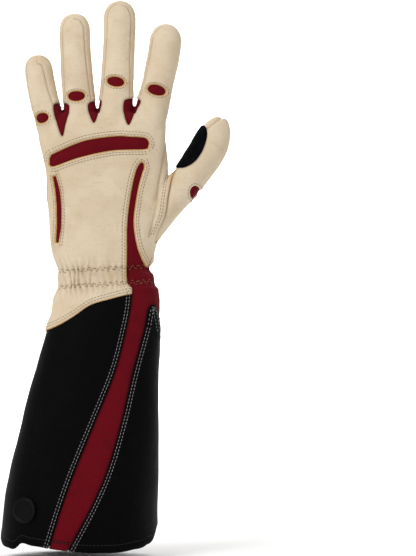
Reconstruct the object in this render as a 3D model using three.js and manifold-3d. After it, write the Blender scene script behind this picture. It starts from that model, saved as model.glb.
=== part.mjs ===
// Left-hand rose pruning gauntlet, standing fingers up as it is worn.
// X runs towards the thumb, Y from the back of the hand to the palm, Z up the arm, in millimetres.
// The origin is the centre of the gathered wrist. The glove is laid out flat about the plane Y = 0,
// cut into its sewn panels there, and only then leant forward into the relaxed curl of a hand.
import * as THREE from "three";
import { mergeVertices } from "three/addons/utils/BufferGeometryUtils.js";
import Module from "manifold-3d";

const wasm = await Module();
wasm.setup();

// Overall sizes
const HAND_LENGTH = 198; // wrist centre to just under the middle fingertip
const PALM_WIDTH = 93; // across the knuckles, thumb left out
const PALM_DEPTH = 28; // through the knuckles
const WRIST_WIDTH = 68.4;
const WRIST_DEPTH = 42;
const CUFF_LENGTH = 198; // wrist centre to the lowest point of the hem
const CUFF_TOP_WIDTH = 80; // where the forearm begins to flare
const CUFF_TOP_DEPTH = 56;
const HEM_WIDTH = 115;
const HEM_DEPTH = 92;
const FINGER_WIDTH = 23; // middle finger; the other digits follow by a share
const FINGER_DEPTH = 20.5;
const FINGER_CURL = 14; // how far the middle fingertip leans towards the palm
const THUMB_FORWARD = 14; // how far the thumb tip leans towards the palm

// Materials' thicknesses and fits
const LEATHER = 1.3;
const FABRIC = 0.9; // stretch fabric behind the windows and stripes
const SUEDE = 1.4; // palm and thumb pads
const GAP = 0.3; // between neighbouring pieces
const WINDOW_MARGIN = 1.6; // fabric hidden behind the rim of a small window
const STRIPE_MARGIN = 3; // fabric hidden behind the leather beside a stripe
const CUFF_UNDERLAP = 6; // forearm leather hidden under the wrist leather
const GATHERS = 24; // pleats round the elasticated wrist
const GATHER_DEPTH = 1.1;
const SLOT_WIDTH = 2.6; // narrow opening on the little-finger side of the hand
const WINDOW_WIDTH = 12.4; // oval opening over the middle finger's joint
const WINDOW_HEIGHT = 6.2;
const BADGE_RADIUS = 9.3;
const BADGE_THICKNESS = 1;
const SLIT_WIDTH = 5; // opening of the vent at the hem
const SLIT_HEIGHT = 21;

const SLEEVE_SQUARE = 2.1; // 2 is an ellipse, more is a squarer section
const HEM_SQUARE = 2.4;
const DIGIT_SQUARE = 2.1;

// Facets
const TUBE_SIDES = 24;
const DIGIT_SIDES = 10;
const OVAL_SIDES = 14;
const BADGE_SIDES = 18;
const CURVE_STEPS = 2; // straight steps between two points of an outline
const REACH = HAND_LENGTH; // how far the cutters run out of the glove, front and back

const lerp = THREE.MathUtils.lerp;

// The glove's tube at its four stations, from its centre line outwards.
const station = (width, depth, left, back) => ({
  left: left * width,
  right: (1 - left) * width,
  back: back * depth,
  palm: (1 - back) * depth,
});
const WRIST = station(WRIST_WIDTH, WRIST_DEPTH, 0.51, 0.49);
const PALM = station(PALM_WIDTH, PALM_DEPTH, 0.53, 0.51);
const CUFF_TOP = station(CUFF_TOP_WIDTH, CUFF_TOP_DEPTH, 0.49, 0.49);
const HEM = station(HEM_WIDTH, HEM_DEPTH, 0.67, 0.49);

// Sections of the tube. up is a share of HAND_LENGTH above the wrist and of CUFF_LENGTH below it.
// The other lengths are shares of the way from one station to the next, square is the section's
// squareness, and gather the share of GATHER_DEPTH.
const HAND_ROWS = [
  { up: 0.6, left: 0.1, right: 0.55, back: 1.75, palm: 1.75, square: 2.2, gather: 0 },
  { up: 0.575, left: 0.75, right: 0.85, back: 1.35, palm: 1.35, square: 2.4, gather: 0 },
  { up: 0.53, left: 0.95, right: 0.9, back: 1, palm: 1, square: 2.5, gather: 0 },
  { up: 0.47, left: 0.85, right: 0.95, back: 0.93, palm: 0.8, square: 2.5, gather: 0 },
  { up: 0.38, left: 0.6, right: 1.05, back: 0.85, palm: 0.55, square: 2.5, gather: 0 },
  { up: 0.28, left: 0.5, right: 1.0, back: 0.7, palm: 0.32, square: 2.5, gather: 0 },
  { up: 0.19, left: 0.43, right: 0.6, back: 0.5, palm: 0.2, square: 2.4, gather: 0 },
  { up: 0.115, left: 0.36, right: 0.24, back: 0.28, palm: 0.1, square: 2.3, gather: 0 },
  { up: 0.07, left: 0.23, right: 0.12, back: 0.12, palm: 0.05, square: 2.2, gather: 0.8 },
  { up: 0.033, left: 0.02, right: -0.02, back: 0, palm: 0, square: 2.2, gather: 0.5 },
  { up: 0, left: 0.03, right: 0.05, back: 0, palm: 0, square: 2.2, gather: 1 },
];
const CUFF_TOP_UP = 0.12;
const WRIST_ROWS = [
  { up: 0.037, left: 0.12, right: 0.8, back: 0.3, palm: 0.3, square: 2.15, gather: 0.7 },
  { up: 0.075, left: 0.75, right: 1, back: 0.7, palm: 0.7, square: 2.1, gather: 0 },
  { up: CUFF_TOP_UP, left: 1, right: 1, back: 1, palm: 1, square: 2.1, gather: 0 },
];
const CUFF_ROWS = [
  { up: 0.19, flare: 0.12 },
  { up: 0.46, flare: 0.53 },
  { up: 0.7, flare: 0.84 },
  { up: 1.03, flare: 1.01 },
].map(({ up, flare }) => ({
  up,
  left: flare,
  right: flare,
  back: flare,
  palm: flare,
  square: lerp(SLEEVE_SQUARE, HEM_SQUARE, Math.min(flare, 1)),
  gather: 0,
}));

// The digits' centre lines, as shares of PALM_WIDTH across and HAND_LENGTH up.
const DIGIT_PATHS = {
  little: [[-0.39, 0.5], [-0.49, 0.665], [-0.548, 0.816]],
  ring: [[-0.18, 0.51], [-0.236, 0.782], [-0.255, 0.966]],
  middle: [[0.062, 0.51], [0.09, 0.76], [0.108, 1.014]],
  index: [[0.3, 0.51], [0.433, 0.782], [0.475, 0.928]],
  thumb: [[0.2, 0.14], [0.428, 0.258], [0.58, 0.327], [0.682, 0.385], [0.797, 0.47], [0.904, 0.588]],
};
// Widths and depths are shares of FINGER_WIDTH and FINGER_DEPTH. tip is the rounded end in half widths.
const FINGER_TIP = 1.15;
const THUMB_TIP = 1.8;
const DIGITS = [
  { name: "little", root: 0.94, width: 0.885, depth: 0.9, tip: FINGER_TIP },
  { name: "ring", root: 1.07, width: 0.975, depth: 0.98, tip: FINGER_TIP },
  { name: "middle", root: 1.16, width: 1, depth: 1, tip: FINGER_TIP },
  { name: "index", root: 1.1, width: 1.01, depth: 1, tip: FINGER_TIP },
  { name: "thumb", root: 1.33, width: 1.03, depth: 1.12, tip: THUMB_TIP },
];
// How a digit's width falls from its root to where the rounded tip begins.
const DIGIT_ROWS = [
  { along: 0, swell: 1, thick: 1 },
  { along: 0.3, swell: 0.55, thick: 1.07 },
  { along: 0.62, swell: 0.03, thick: 0.99 },
  { along: 1, swell: 0, thick: 0.94 },
];
const TIP_ANGLES = [35, 62, 84]; // where the rounded tip is sliced, in degrees

// Seams and openings on the hand, as shares of PALM_WIDTH across and HAND_LENGTH up.
const KNUCKLE_BAND = [
  [-0.435, 0.43], [-0.41, 0.412], [-0.2, 0.444], [0.05, 0.469], [0.3, 0.474], [0.33, 0.491],
  [0.3, 0.51], [0.078, 0.516], [-0.16, 0.499], [-0.39, 0.456],
];
const RADIAL_SLOT = [
  [0.28, 0.422], [0.247, 0.4], [0.222, 0.358], [0.197, 0.295], [0.175, 0.2], [0.174, 0.06],
  [0.174, -0.012], [0.207, -0.022], [0.207, -0.3], [0.62, -0.3], [0.62, 0.034], [0.365, 0.034],
  [0.3, 0.056], [0.255, 0.1], [0.227, 0.15], [0.213, 0.21], [0.227, 0.273], [0.25, 0.335],
  [0.276, 0.38], [0.294, 0.408],
];
const SLOT_SPINE = [
  [-0.4, 0.372], [-0.377, 0.325], [-0.364, 0.265], [-0.364, 0.2], [-0.38, 0.136],
];
const THUMB_SEAM_BACK = [
  [0.5, 0.42], [0.535, 0.405], [0.505, 0.358], [0.482, 0.295], [0.46, 0.226], [0.4, 0.16],
  [0.385, 0.13],
];
const THUMB_SEAM_PALM = [
  [0.48, 0.415], [0.41, 0.363], [0.355, 0.393], [0.33, 0.44], [0.305, 0.484], [0.265, 0.468],
  [0.19, 0.38], [0.12, 0.305], [0.104, 0.251], [0.128, 0.185], [0.182, 0.141], [0.252, 0.116],
  [0.337, 0.131], [0.42, 0.155],
];
const PALM_PAD = [
  [0.258, 0.469], [0.14, 0.476], [0, 0.469], [-0.116, 0.447], [-0.233, 0.409], [-0.35, 0.376],
  [-0.452, 0.36], [-0.456, 0.272], [-0.45, 0.206], [-0.396, 0.152], [-0.314, 0.127], [-0.256, 0.137],
  [-0.222, 0.156], [-0.174, 0.14], [-0.116, 0.14], [-0.058, 0.162], [-0.012, 0.2], [0.034, 0.255],
  [0.1, 0.318], [0.163, 0.385], [0.215, 0.44],
];
const THUMB_PAD = [
  [0.49, 0.42], [0.54, 0.4], [0.62, 0.402], [0.7, 0.428], [0.76, 0.475], [0.785, 0.53],
  [0.745, 0.56], [0.62, 0.55], [0.52, 0.48],
];

// Stretch gussets between the fingers: a leaf below each web.
const GUSSET_LEAVES = {
  little: [[-0.4, 0.628], [-0.37, 0.551], [-0.333, 0.513], [-0.312, 0.551], [-0.29, 0.626]],
  middle: [[-0.13, 0.634], [-0.125, 0.596], [-0.088, 0.562], [-0.058, 0.6], [-0.04, 0.642]],
  index: [[0.15, 0.645], [0.146, 0.592], [0.18, 0.555], [0.226, 0.604], [0.262, 0.646]],
};

// Oval windows over the joints. width and height are shares of WINDOW_WIDTH and WINDOW_HEIGHT,
// turn is in degrees.
const WINDOWS = [
  { name: "little_window", across: -0.494, up: 0.586, width: 0.72, height: 1.02, turn: 12 },
  { name: "ring_window", across: -0.228, up: 0.666, width: 0.97, height: 1.02, turn: 2 },
  { name: "middle_window", across: 0.075, up: 0.719, width: 1, height: 0.98, turn: -8 },
  { name: "index_window", across: 0.393, up: 0.688, width: 1.05, height: 1.05, turn: -14 },
  { name: "thumb_window", across: 0.694, up: 0.313, width: 0.55, height: 1.55, turn: 6 },
];

// Side strips of the fingers, between the finger's back and its front. back and palm are the strip's
// edges as shares of the half depth, side says which flank it covers, and gusset is the web below it.
const SIDE_STRIPS = [
  { name: "little_inner_strip", digit: "little", side: 1, back: 0.88, palm: 0.6, gusset: 0 },
  { name: "ring_outer_strip", digit: "ring", side: -1, back: 0.6, palm: 0.6, gusset: 0 },
  { name: "ring_inner_strip", digit: "ring", side: 1, back: 0.74, palm: 0.6, gusset: 1 },
  { name: "middle_outer_strip", digit: "middle", side: -1, back: 0.6, palm: 0.6, gusset: 1 },
  { name: "middle_inner_strip", digit: "middle", side: 1, back: 0.66, palm: 0.6, gusset: 2 },
  { name: "index_outer_strip", digit: "index", side: -1, back: 0.55, palm: 0.6, gusset: 2 },
];

// Lower edge of the wrist leather, as shares of PALM_WIDTH across and CUFF_LENGTH up.
const SKIRT_BACK = [
  [-0.8, -0.19], [-0.45, -0.186], [-0.34, -0.164], [-0.256, -0.141], [-0.116, -0.098], [0.031, -0.076],
  [0.147, -0.062], [0.21, -0.056], [0.8, -0.05],
];
const SKIRT_PALM = [
  [-0.8, -0.19], [-0.46, -0.2], [-0.4, -0.236], [-0.3, -0.24], [-0.21, -0.229], [-0.1, -0.194],
  [0.073, -0.116], [0.19, -0.068], [0.259, -0.061], [0.39, -0.071], [0.8, -0.075],
];

// Edges of the red stripes, the vent and the hem, as shares of HEM_WIDTH across and CUFF_LENGTH up.
const BACK_STRIPE_LEFT = [
  [0.163, 0.03], [0.163, -0.08], [0.13, -0.19], [0.063, -0.338], [-0.057, -0.513], [-0.18, -0.687],
  [-0.262, -0.82], [-0.35, -0.98],
];
const BACK_STRIPE_RIGHT = [
  [0.6, -0.215], [0.37, -0.215], [0.352, -0.19], [0.34, -0.15], [0.322, -0.108], [0.297, -0.096],
  [0.27, -0.115], [0.248, -0.18], [0.176, -0.338], [0.106, -0.513], [0.019, -0.687], [-0.08, -0.82],
  [-0.225, -0.98],
];
const PALM_STRIPE_INNER = [
  [0.35, 0.03], [0.33, -0.06], [0.284, -0.14], [0.272, -0.251], [0.26, -0.338], [0.178, -0.513],
  [0.059, -0.687], [-0.065, -0.82], [-0.235, -0.98],
];
const PALM_STRIPE_OUTER = [
  [0.6, -0.215], [0.37, -0.215], [0.342, -0.235], [0.325, -0.27], [0.295, -0.338], [0.247, -0.513],
  [0.184, -0.687], [0.11, -0.82], [-0.045, -0.98],
];
const ULNAR_SEAM = [
  [-0.3, -0.1], [-0.34, -0.22], [-0.382, -0.436], [-0.43, -0.65], [-0.482, -0.87],
];
const HEM_BACK = [
  [-0.9, -0.915], [-0.72, -0.918], [-0.665, -0.93], [-0.642, -0.958], [-0.6, -0.97], [-0.552, -0.969],
  [-0.534, -0.957], [-0.45, -0.958], [-0.29, -0.971], [-0.037, -0.982], [0.12, -0.979], [0.17, -0.974],
  [0.262, -0.961], [0.307, -0.937], [0.3255, -0.9], [0.3317, -0.855], [0.6, -0.83],
];
const HEM_PALM = [
  [-0.9, -0.9], [-0.66, -0.908], [-0.614, -0.926], [-0.59, -0.938], [-0.549, -0.942], [-0.522, -0.934],
  [-0.505, -0.93], [-0.478, -0.93], [-0.458, -0.949], [-0.435, -0.976], [-0.388, -0.99], [-0.215, -1],
  [-0.078, -0.993], [0.066, -0.96], [0.176, -0.928], [0.285, -0.884], [0.318, -0.868], [0.3317, -0.855],
  [0.6, -0.83],
];
const SLIT_PLACE = -0.486;
const SLIT_FOOT = -0.97;
const BADGE_PLACE = [-0.49, -0.833];

const COLOURS = {
  cream_leather: { color: 0xd8c3a0, roughness: 0.72, metalness: 0 },
  red_stretch: { color: 0x6e1a22, roughness: 0.85, metalness: 0 },
  black_suede: { color: 0x1a1b1e, roughness: 0.9, metalness: 0 },
  black_leather: { color: 0x121214, roughness: 0.6, metalness: 0 },
  badge_rubber: { color: 0x0b0b0c, roughness: 0.35, metalness: 0 },
};

// A three.js geometry as a solid that can be joined and cut.
function solidOf(geometry) {
  const bare = geometry.clone();
  bare.deleteAttribute("normal");
  bare.deleteAttribute("uv");
  const merged = mergeVertices(bare, 1e-4);
  return new wasm.Manifold(
    new wasm.Mesh({
      numProp: 3,
      vertProperties: merged.attributes.position.array,
      triVerts: new Uint32Array(merged.index.array),
    }),
  );
}

const union = (solids) => solids.reduce((whole, one) => whole.add(one));

// Skins a stack of closed rings, each {points, turns} with turns rising from 0 to 1, and caps both ends.
function loft(rings) {
  const positions = [];
  const triangle = (a, b, c) => positions.push(a.x, a.y, a.z, b.x, b.y, b.z, c.x, c.y, c.z);
  for (let k = 1; k < rings.length; k++) {
    const [low, high] = [rings[k - 1], rings[k]];
    const [n, m] = [low.points.length, high.points.length];
    let [i, j] = [0, 0];
    while (i < n || j < m) {
      const stepLow = j === m || (i < n && (i + 1) / n <= (j + 1) / m);
      if (stepLow) {
        triangle(low.points[i % n], low.points[(i + 1) % n], high.points[j % m]);
        i++;
      } else {
        triangle(low.points[i % n], high.points[(j + 1) % m], high.points[j % m]);
        j++;
      }
    }
  }
  const cap = (ring, facesUp) => {
    const middle = new THREE.Vector3();
    for (const p of ring.points) middle.addScaledVector(p, 1 / ring.points.length);
    ring.points.forEach((p, i) => {
      const next = ring.points[(i + 1) % ring.points.length];
      if (facesUp) triangle(p, next, middle);
      else triangle(next, p, middle);
    });
  };
  cap(rings[0], false);
  cap(rings.at(-1), true);
  const places = new THREE.Float32BufferAttribute(positions, 3);
  return solidOf(new THREE.BufferGeometry().setAttribute("position", places));
}

// A point of a rounded section: the turn round it, its half width and the two half depths.
function sectionPoint(angle, halfWidth, back, palm, square) {
  const power = 2 / square;
  const [c, s] = [Math.cos(angle), Math.sin(angle)];
  const depth = s < 0 ? back : palm;
  return {
    across: halfWidth * Math.sign(c) * Math.abs(c) ** power,
    through: depth * Math.sign(s) * Math.abs(s) ** power,
  };
}

// The tube's sections from the top down, in millimetres.
const blend = (from, to, row) => ({
  left: lerp(from.left, to.left, row.left),
  right: lerp(from.right, to.right, row.right),
  back: lerp(from.back, to.back, row.back),
  palm: lerp(from.palm, to.palm, row.palm),
  square: row.square,
  gather: row.gather,
});
const sections = (rows, length, from, to) =>
  rows.map((row) => ({ z: row.up * length, ...blend(from, to, row) }));
const handSections = sections(HAND_ROWS, HAND_LENGTH, WRIST, PALM);
const wristSections = sections(WRIST_ROWS, -CUFF_LENGTH, WRIST, CUFF_TOP);
const cuffSections = sections(CUFF_ROWS, -CUFF_LENGTH, CUFF_TOP, HEM);

// A horizontal ring of the tube, grown outwards by offset. Pleats show on the outer face alone.
function tubeRing(section, offset, rise = 0) {
  const pleated = section.gather > 0 && offset === 0;
  const sides = pleated ? 2 * GATHERS : TUBE_SIDES;
  const middle = (section.right - section.left) / 2;
  const halfWidth = (section.right + section.left) / 2 + offset;
  const back = section.back + offset;
  const palm = section.palm + offset;
  const depth = pleated ? (section.gather * GATHER_DEPTH) / 2 / halfWidth : 0;
  const points = Array.from({ length: sides }, (_, i) => {
    const angle = (i / sides) * 2 * Math.PI;
    const { across, through } = sectionPoint(angle, halfWidth, back, palm, section.square);
    const pleat = 1 + depth * Math.cos(GATHERS * angle);
    return new THREE.Vector3(middle + across * pleat, through * pleat, section.z + rise);
  });
  return { points };
}

// A digit's skin, grown outwards by offset.
function digitLoft(digit, offset) {
  const stops = DIGIT_PATHS[digit.name].map(onHand);
  const path = new THREE.CatmullRomCurve3(stops.map((p) => new THREE.Vector3(p.x, 0, p.y)));
  const halfWidth = (digit.width * FINGER_WIDTH) / 2;
  const halfDepth = (digit.depth * FINGER_DEPTH) / 2;
  const tipLength = digit.tip * halfWidth;
  const length = path.getLength();
  const ring = (distance, wide, deep) => {
    const share = Math.min(distance / length, 1);
    const centre = path.getPointAt(share);
    const ahead = path.getTangentAt(share);
    centre.addScaledVector(ahead, Math.max(distance - length, 0));
    const side = new THREE.Vector3(ahead.z, 0, -ahead.x);
    const points = Array.from({ length: DIGIT_SIDES }, (_, i) => {
      const angle = (i / DIGIT_SIDES) * 2 * Math.PI;
      const { across, through } = sectionPoint(angle, wide, deep, deep, DIGIT_SQUARE);
      return centre.clone().addScaledVector(side, across).setY(through);
    });
    return { points };
  };
  const body = DIGIT_ROWS.map(({ along, swell, thick }) => {
    const wide = halfWidth * lerp(1, digit.root / digit.width, swell);
    return ring(along * (length - tipLength), wide + offset, halfDepth * thick + offset);
  });
  const lastThick = DIGIT_ROWS.at(-1).thick;
  const tip = TIP_ANGLES.map((degrees) => {
    const angle = THREE.MathUtils.degToRad(degrees);
    const shrink = Math.cos(angle) ** 0.9;
    const distance = length - tipLength + (tipLength + offset) * Math.sin(angle);
    return ring(distance, (halfWidth + offset) * shrink, (halfDepth * lastThick + offset) * shrink);
  });
  return loft([...body, ...tip]);
}

// The whole hand down to below the wrist leather's edge, and the whole forearm, grown outwards by offset.
const skirtSections = [...wristSections, ...cuffSections.slice(0, 3)];
function handForm(offset) {
  const [top, ...others] = [...handSections, ...skirtSections];
  const rings = [tubeRing(top, offset, offset), ...others.map((section) => tubeRing(section, offset))];
  return union([loft(rings.reverse()), ...DIGITS.map((digit) => digitLoft(digit, offset))]);
}
const TUCK = LEATHER + GAP; // the forearm slips under the wrist leather
function cuffForm(offset) {
  const rings = [handSections.at(-1), ...wristSections, ...cuffSections];
  return loft(rings.map((section) => tubeRing(section, offset - TUCK)).reverse());
}
// A wall between two offsets of one form.
const layer = (form, outer, inner) => form(outer).subtract(form(inner));

// Outlines
const onHand = ([across, up]) => new THREE.Vector2(across * PALM_WIDTH, up * HAND_LENGTH);
const onSkirt = ([across, up]) => new THREE.Vector2(across * PALM_WIDTH, up * CUFF_LENGTH);
const onCuff = ([across, up]) => new THREE.Vector2(across * HEM_WIDTH, up * CUFF_LENGTH);
const smooth = (points) => new THREE.SplineCurve(points).getPoints((points.length - 1) * CURVE_STEPS);

// A closed outline through the points, rounded by a spline.
function smoothLoop(points) {
  const loop = new THREE.CatmullRomCurve3(points.map((p) => new THREE.Vector3(p.x, p.y, 0)), true);
  return loop.getPoints(points.length * CURVE_STEPS).slice(0, -1).map((p) => new THREE.Vector2(p.x, p.y));
}

function oval({ across, up, width, height, turn }) {
  const centre = onHand([across, up]);
  const curve = new THREE.EllipseCurve(
    centre.x, centre.y, (width * WINDOW_WIDTH) / 2, (height * WINDOW_HEIGHT) / 2, 0, 2 * Math.PI, false,
    THREE.MathUtils.degToRad(turn),
  );
  return curve.getPoints(OVAL_SIDES).slice(0, -1);
}

// A slender leaf round a centre line.
function leafAround(spine, width) {
  const line = smooth(spine);
  const flank = (side) =>
    line.map((p, i) => {
      const ahead = line[Math.min(i + 1, line.length - 1)].clone().sub(line[Math.max(i - 1, 0)]).normalize();
      const half = (width / 2) * Math.sqrt(Math.sin(Math.PI * lerp(0.04, 0.96, i / (line.length - 1))));
      return new THREE.Vector2(p.x - side * half * ahead.y, p.y + side * half * ahead.x);
    });
  return [...flank(1), ...flank(-1).reverse()];
}

// Moves a closed outline outwards along its normals.
function grown(outline, by) {
  const turn = THREE.ShapeUtils.isClockWise(outline) ? -1 : 1;
  return outline.map((p, i) => {
    const before = outline.at(i - 1);
    const after = outline[(i + 1) % outline.length];
    const along = after.clone().sub(before).normalize();
    return new THREE.Vector2(p.x + turn * by * along.y, p.y - turn * by * along.x);
  });
}

// A block of that front outline between two depths.
function prism(outline, from, to) {
  const settings = { depth: to - from, bevelEnabled: false };
  const upright = new THREE.Matrix4(1, 0, 0, 0, 0, 0, -1, to, 0, 1, 0, 0, 0, 0, 0, 1);
  return solidOf(new THREE.ExtrudeGeometry(new THREE.Shape(outline), settings).applyMatrix4(upright));
}
const throughBack = (outline) => prism(outline, -REACH, 0);
const throughPalm = (outline) => prism(outline, 0, REACH);
const throughBoth = (outline) => prism(outline, -REACH, REACH);

// Everything above or below a line that runs from left to right.
const closedAt = (line, height) => [
  ...line,
  new THREE.Vector2(line.at(-1).x, height),
  new THREE.Vector2(line[0].x, height),
];
const above = (line) => closedAt(line, 2 * HAND_LENGTH);
const below = (line) => closedAt(line, -2 * CUFF_LENGTH);
const raised = (line, by) => line.map((p) => new THREE.Vector2(p.x, p.y + by));
// Everything on the thumb's side of a line that runs from top to bottom.
const beside = (line) => [
  new THREE.Vector2(line[0].x, 2 * HAND_LENGTH),
  ...line,
  new THREE.Vector2(line.at(-1).x, -2 * CUFF_LENGTH),
  new THREE.Vector2(2 * HEM_WIDTH, -2 * CUFF_LENGTH),
  new THREE.Vector2(2 * HEM_WIDTH, 2 * HAND_LENGTH),
];

// The relaxed hand: fingers and thumb lean towards the palm, softly at first and then evenly.
// It moves points along Y only, so the front view stays.
const softRamp = (distance, soft) => {
  if (distance > soft) return distance - soft / 2;
  return Math.max(distance, 0) ** 2 / (2 * soft);
};
const CURL_START = 0.42 * HAND_LENGTH;
const CURL_SOFT = 0.18 * HAND_LENGTH;
const thumbRoot = onHand(DIGIT_PATHS.thumb[1]);
const thumbAhead = onHand(DIGIT_PATHS.thumb.at(-1)).sub(thumbRoot);
const thumbSpan = thumbAhead.length();
thumbAhead.normalize();
function lean(x, z) {
  const curl = softRamp(z - CURL_START, CURL_SOFT) / softRamp(HAND_LENGTH - CURL_START, CURL_SOFT);
  const along = (x - thumbRoot.x) * thumbAhead.x + (z - thumbRoot.y) * thumbAhead.y;
  const inwards = (z - thumbRoot.y) * thumbAhead.x - (x - thumbRoot.x) * thumbAhead.y;
  const onThumb = 1 - THREE.MathUtils.smoothstep(inwards, 0.4 * FINGER_WIDTH, 1.2 * FINGER_WIDTH);
  const reach = softRamp(along, 0.4 * thumbSpan) / softRamp(thumbSpan, 0.4 * thumbSpan);
  return FINGER_CURL * curl + THUMB_FORWARD * reach * onThumb;
}

const materials = Object.fromEntries(
  Object.entries(COLOURS).map(([name, look]) => [name, new THREE.MeshStandardMaterial({ name, ...look })]),
);

// A finished piece as a named mesh, leant into the hand's curl.
function piece(name, solid, material) {
  const { vertProperties, triVerts } = solid.getMesh();
  const places = new Float32Array(vertProperties);
  for (let i = 0; i < places.length; i += 3) places[i + 1] += lean(places[i], places[i + 2]);
  const geometry = new THREE.BufferGeometry().setAttribute("position", new THREE.BufferAttribute(places, 3));
  geometry.setIndex(new THREE.BufferAttribute(new Uint32Array(triVerts), 1));
  geometry.computeVertexNormals();
  const mesh = new THREE.Mesh(geometry, materials[material]);
  mesh.name = name;
  return mesh;
}

// The hand: its walls, then the cutters that divide them
const handLeather = layer(handForm, 0, -LEATHER);
const handFabric = layer(handForm, -LEATHER - GAP, -LEATHER - GAP - FABRIC);
const handPadding = layer(handForm, GAP + SUEDE, GAP);

const skirtBack = smooth(SKIRT_BACK.map(onSkirt));
const skirtPalm = smooth(SKIRT_PALM.map(onSkirt));
const backHalf = throughBack(above(skirtBack)).translate([0, -GAP / 2, 0]);
const palmHalf = throughPalm(above(skirtPalm)).translate([0, GAP / 2, 0]);

const knuckleBand = smoothLoop(KNUCKLE_BAND.map(onHand));
const radialSlot = RADIAL_SLOT.map(onHand);
const littleSlot = leafAround(SLOT_SPINE.map(onHand), SLOT_WIDTH);
const windows = WINDOWS.map((row) => ({ name: row.name, outline: oval(row) }));
const gussets = Object.entries(GUSSET_LEAVES).map(([finger, leaf]) => ({
  name: `web_gusset_${finger}`,
  outline: leaf.map(onHand),
}));

// The thumb's leather: everything past its seam on the back, and past the seam round the ball of the
// thumb on the palm.
const thumbFar = [[0.55, 0.1], [1.4, 0.1], [1.4, 0.8], [0.6, 0.8]].map(onHand);
const thumbBack = [...smooth(THUMB_SEAM_BACK.map(onHand)), ...thumbFar];
const thumbPalm = [...smooth(THUMB_SEAM_PALM.map(onHand)), ...thumbFar];
const thumbRegion = (by) => throughBack(grown(thumbBack, by)).add(throughPalm(grown(thumbPalm, by)));

// One flank of a finger, from the top of its web gusset to the fingertip.
function stripBlock({ digit, side, back, palm, gusset }, by) {
  const row = DIGITS.find(({ name }) => name === digit);
  const [root, , tip] = DIGIT_PATHS[digit].map(onHand);
  const span = tip.distanceTo(root);
  const ahead = tip.clone().sub(root).divideScalar(span);
  const halfDepth = (row.depth * FINGER_DEPTH) / 2;
  const aside = new THREE.Vector2(side * ahead.y, -side * ahead.x);
  const outline = [[0, -by], [0, FINGER_WIDTH], [1.3 * span, FINGER_WIDTH], [1.3 * span, -by]].map(
    ([along, across]) => root.clone().addScaledVector(ahead, along).addScaledVector(aside, across),
  );
  const bottom = gussets[gusset].outline.at(side > 0 ? 0 : -1).y - by;
  return prism(outline, -back * halfDepth - by, palm * halfDepth + by)
    .intersect(digitLoft(row, by))
    .trimByPlane([0, 0, 1], bottom);
}

const windowCutters = union(windows.map(({ outline }) => throughBack(outline)));
const gussetCutters = union(gussets.map(({ outline }) => throughBoth(grown(outline, GAP))));
const stripCutters = union(SIDE_STRIPS.map((strip) => stripBlock(strip, GAP)));
const slotCutters = union([knuckleBand, radialSlot, littleSlot].map(throughBack));
const openings = union([slotCutters, windowCutters, gussetCutters]);

const panels = handLeather.subtract(openings);
const handPanels = panels.subtract(stripCutters).subtract(thumbRegion(GAP));
const hand = new THREE.Group();
hand.name = "hand";
hand.add(
  piece("back_panel", handPanels.intersect(backHalf), "cream_leather"),
  piece("palm_panel", handPanels.intersect(palmHalf), "cream_leather"),
  piece("thumb_leather", panels.intersect(thumbRegion(0)), "cream_leather"),
);
for (const strip of SIDE_STRIPS) {
  hand.add(piece(strip.name, panels.intersect(stripBlock(strip, 0)), "cream_leather"));
}

// Stretch fabric behind the openings
const behind = (outline) => handFabric.intersect(throughBack(outline));
const slotCloth = leafAround(SLOT_SPINE.map(onHand), SLOT_WIDTH + 2 * WINDOW_MARGIN);
hand.add(
  piece("knuckle_band", behind(grown(knuckleBand, STRIPE_MARGIN)), "red_stretch"),
  piece("little_side_slot", behind(slotCloth), "red_stretch"),
);
for (const { name, outline } of windows) {
  hand.add(piece(name, behind(grown(outline, WINDOW_MARGIN)), "red_stretch"));
}
for (const { name, outline } of gussets) {
  hand.add(piece(name, handLeather.intersect(throughBoth(outline)), "red_stretch"));
}

hand.add(
  piece("palm_pad", handPadding.intersect(throughPalm(smoothLoop(PALM_PAD.map(onHand)))), "black_suede"),
  piece("thumb_pad", handPadding.intersect(throughBack(smoothLoop(THUMB_PAD.map(onHand)))), "black_suede"),
);

// The forearm: black leather parted by a red stripe on each face, the two meeting below the thumb
const cuffTop = (by) => {
  const [back, palm] = [skirtBack, skirtPalm].map((line) => below(raised(line, CUFF_UNDERLAP + by)));
  return throughBack(back).add(throughPalm(palm));
};
const [hemBack, hemPalm] = [HEM_BACK, HEM_PALM].map((line) => above(smooth(line.map(onCuff))));
const aboveHem = throughBack(hemBack).add(throughPalm(hemPalm));
const slitPoint = (across, up) => onCuff([SLIT_PLACE, SLIT_FOOT]).add(new THREE.Vector2(across, up));
const slit = throughPalm([
  slitPoint(-SLIT_WIDTH, -SLIT_HEIGHT),
  slitPoint(SLIT_WIDTH, -SLIT_HEIGHT),
  slitPoint(0.3 * SLIT_WIDTH, SLIT_HEIGHT),
  slitPoint(-0.3 * SLIT_WIDTH, SLIT_HEIGHT),
]);
const forearm = layer(cuffForm, 0, -LEATHER).intersect(cuffTop(0)).intersect(aboveHem).subtract(slit);

const lines = {
  backLeft: smooth(BACK_STRIPE_LEFT.map(onCuff)),
  backRight: smooth(BACK_STRIPE_RIGHT.map(onCuff)),
  palmInner: smooth(PALM_STRIPE_INNER.map(onCuff)),
  palmOuter: smooth(PALM_STRIPE_OUTER.map(onCuff)),
  ulnar: smooth(ULNAR_SEAM.map(onCuff)),
};
const facing = (back, palm, by) => {
  const [onBack, onPalm] = [back, palm].map((line) => grown(beside(line), by));
  return throughBack(onBack).add(throughPalm(onPalm));
};
const thumbSide = (by) => facing(lines.backLeft, lines.palmInner, by);
const wedge = (by) => facing(lines.backRight, lines.palmOuter, by);
const palmSide = (by) => throughPalm(grown(beside(lines.ulnar), by));
const blackLeather = forearm.subtract(thumbSide(GAP));

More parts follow.
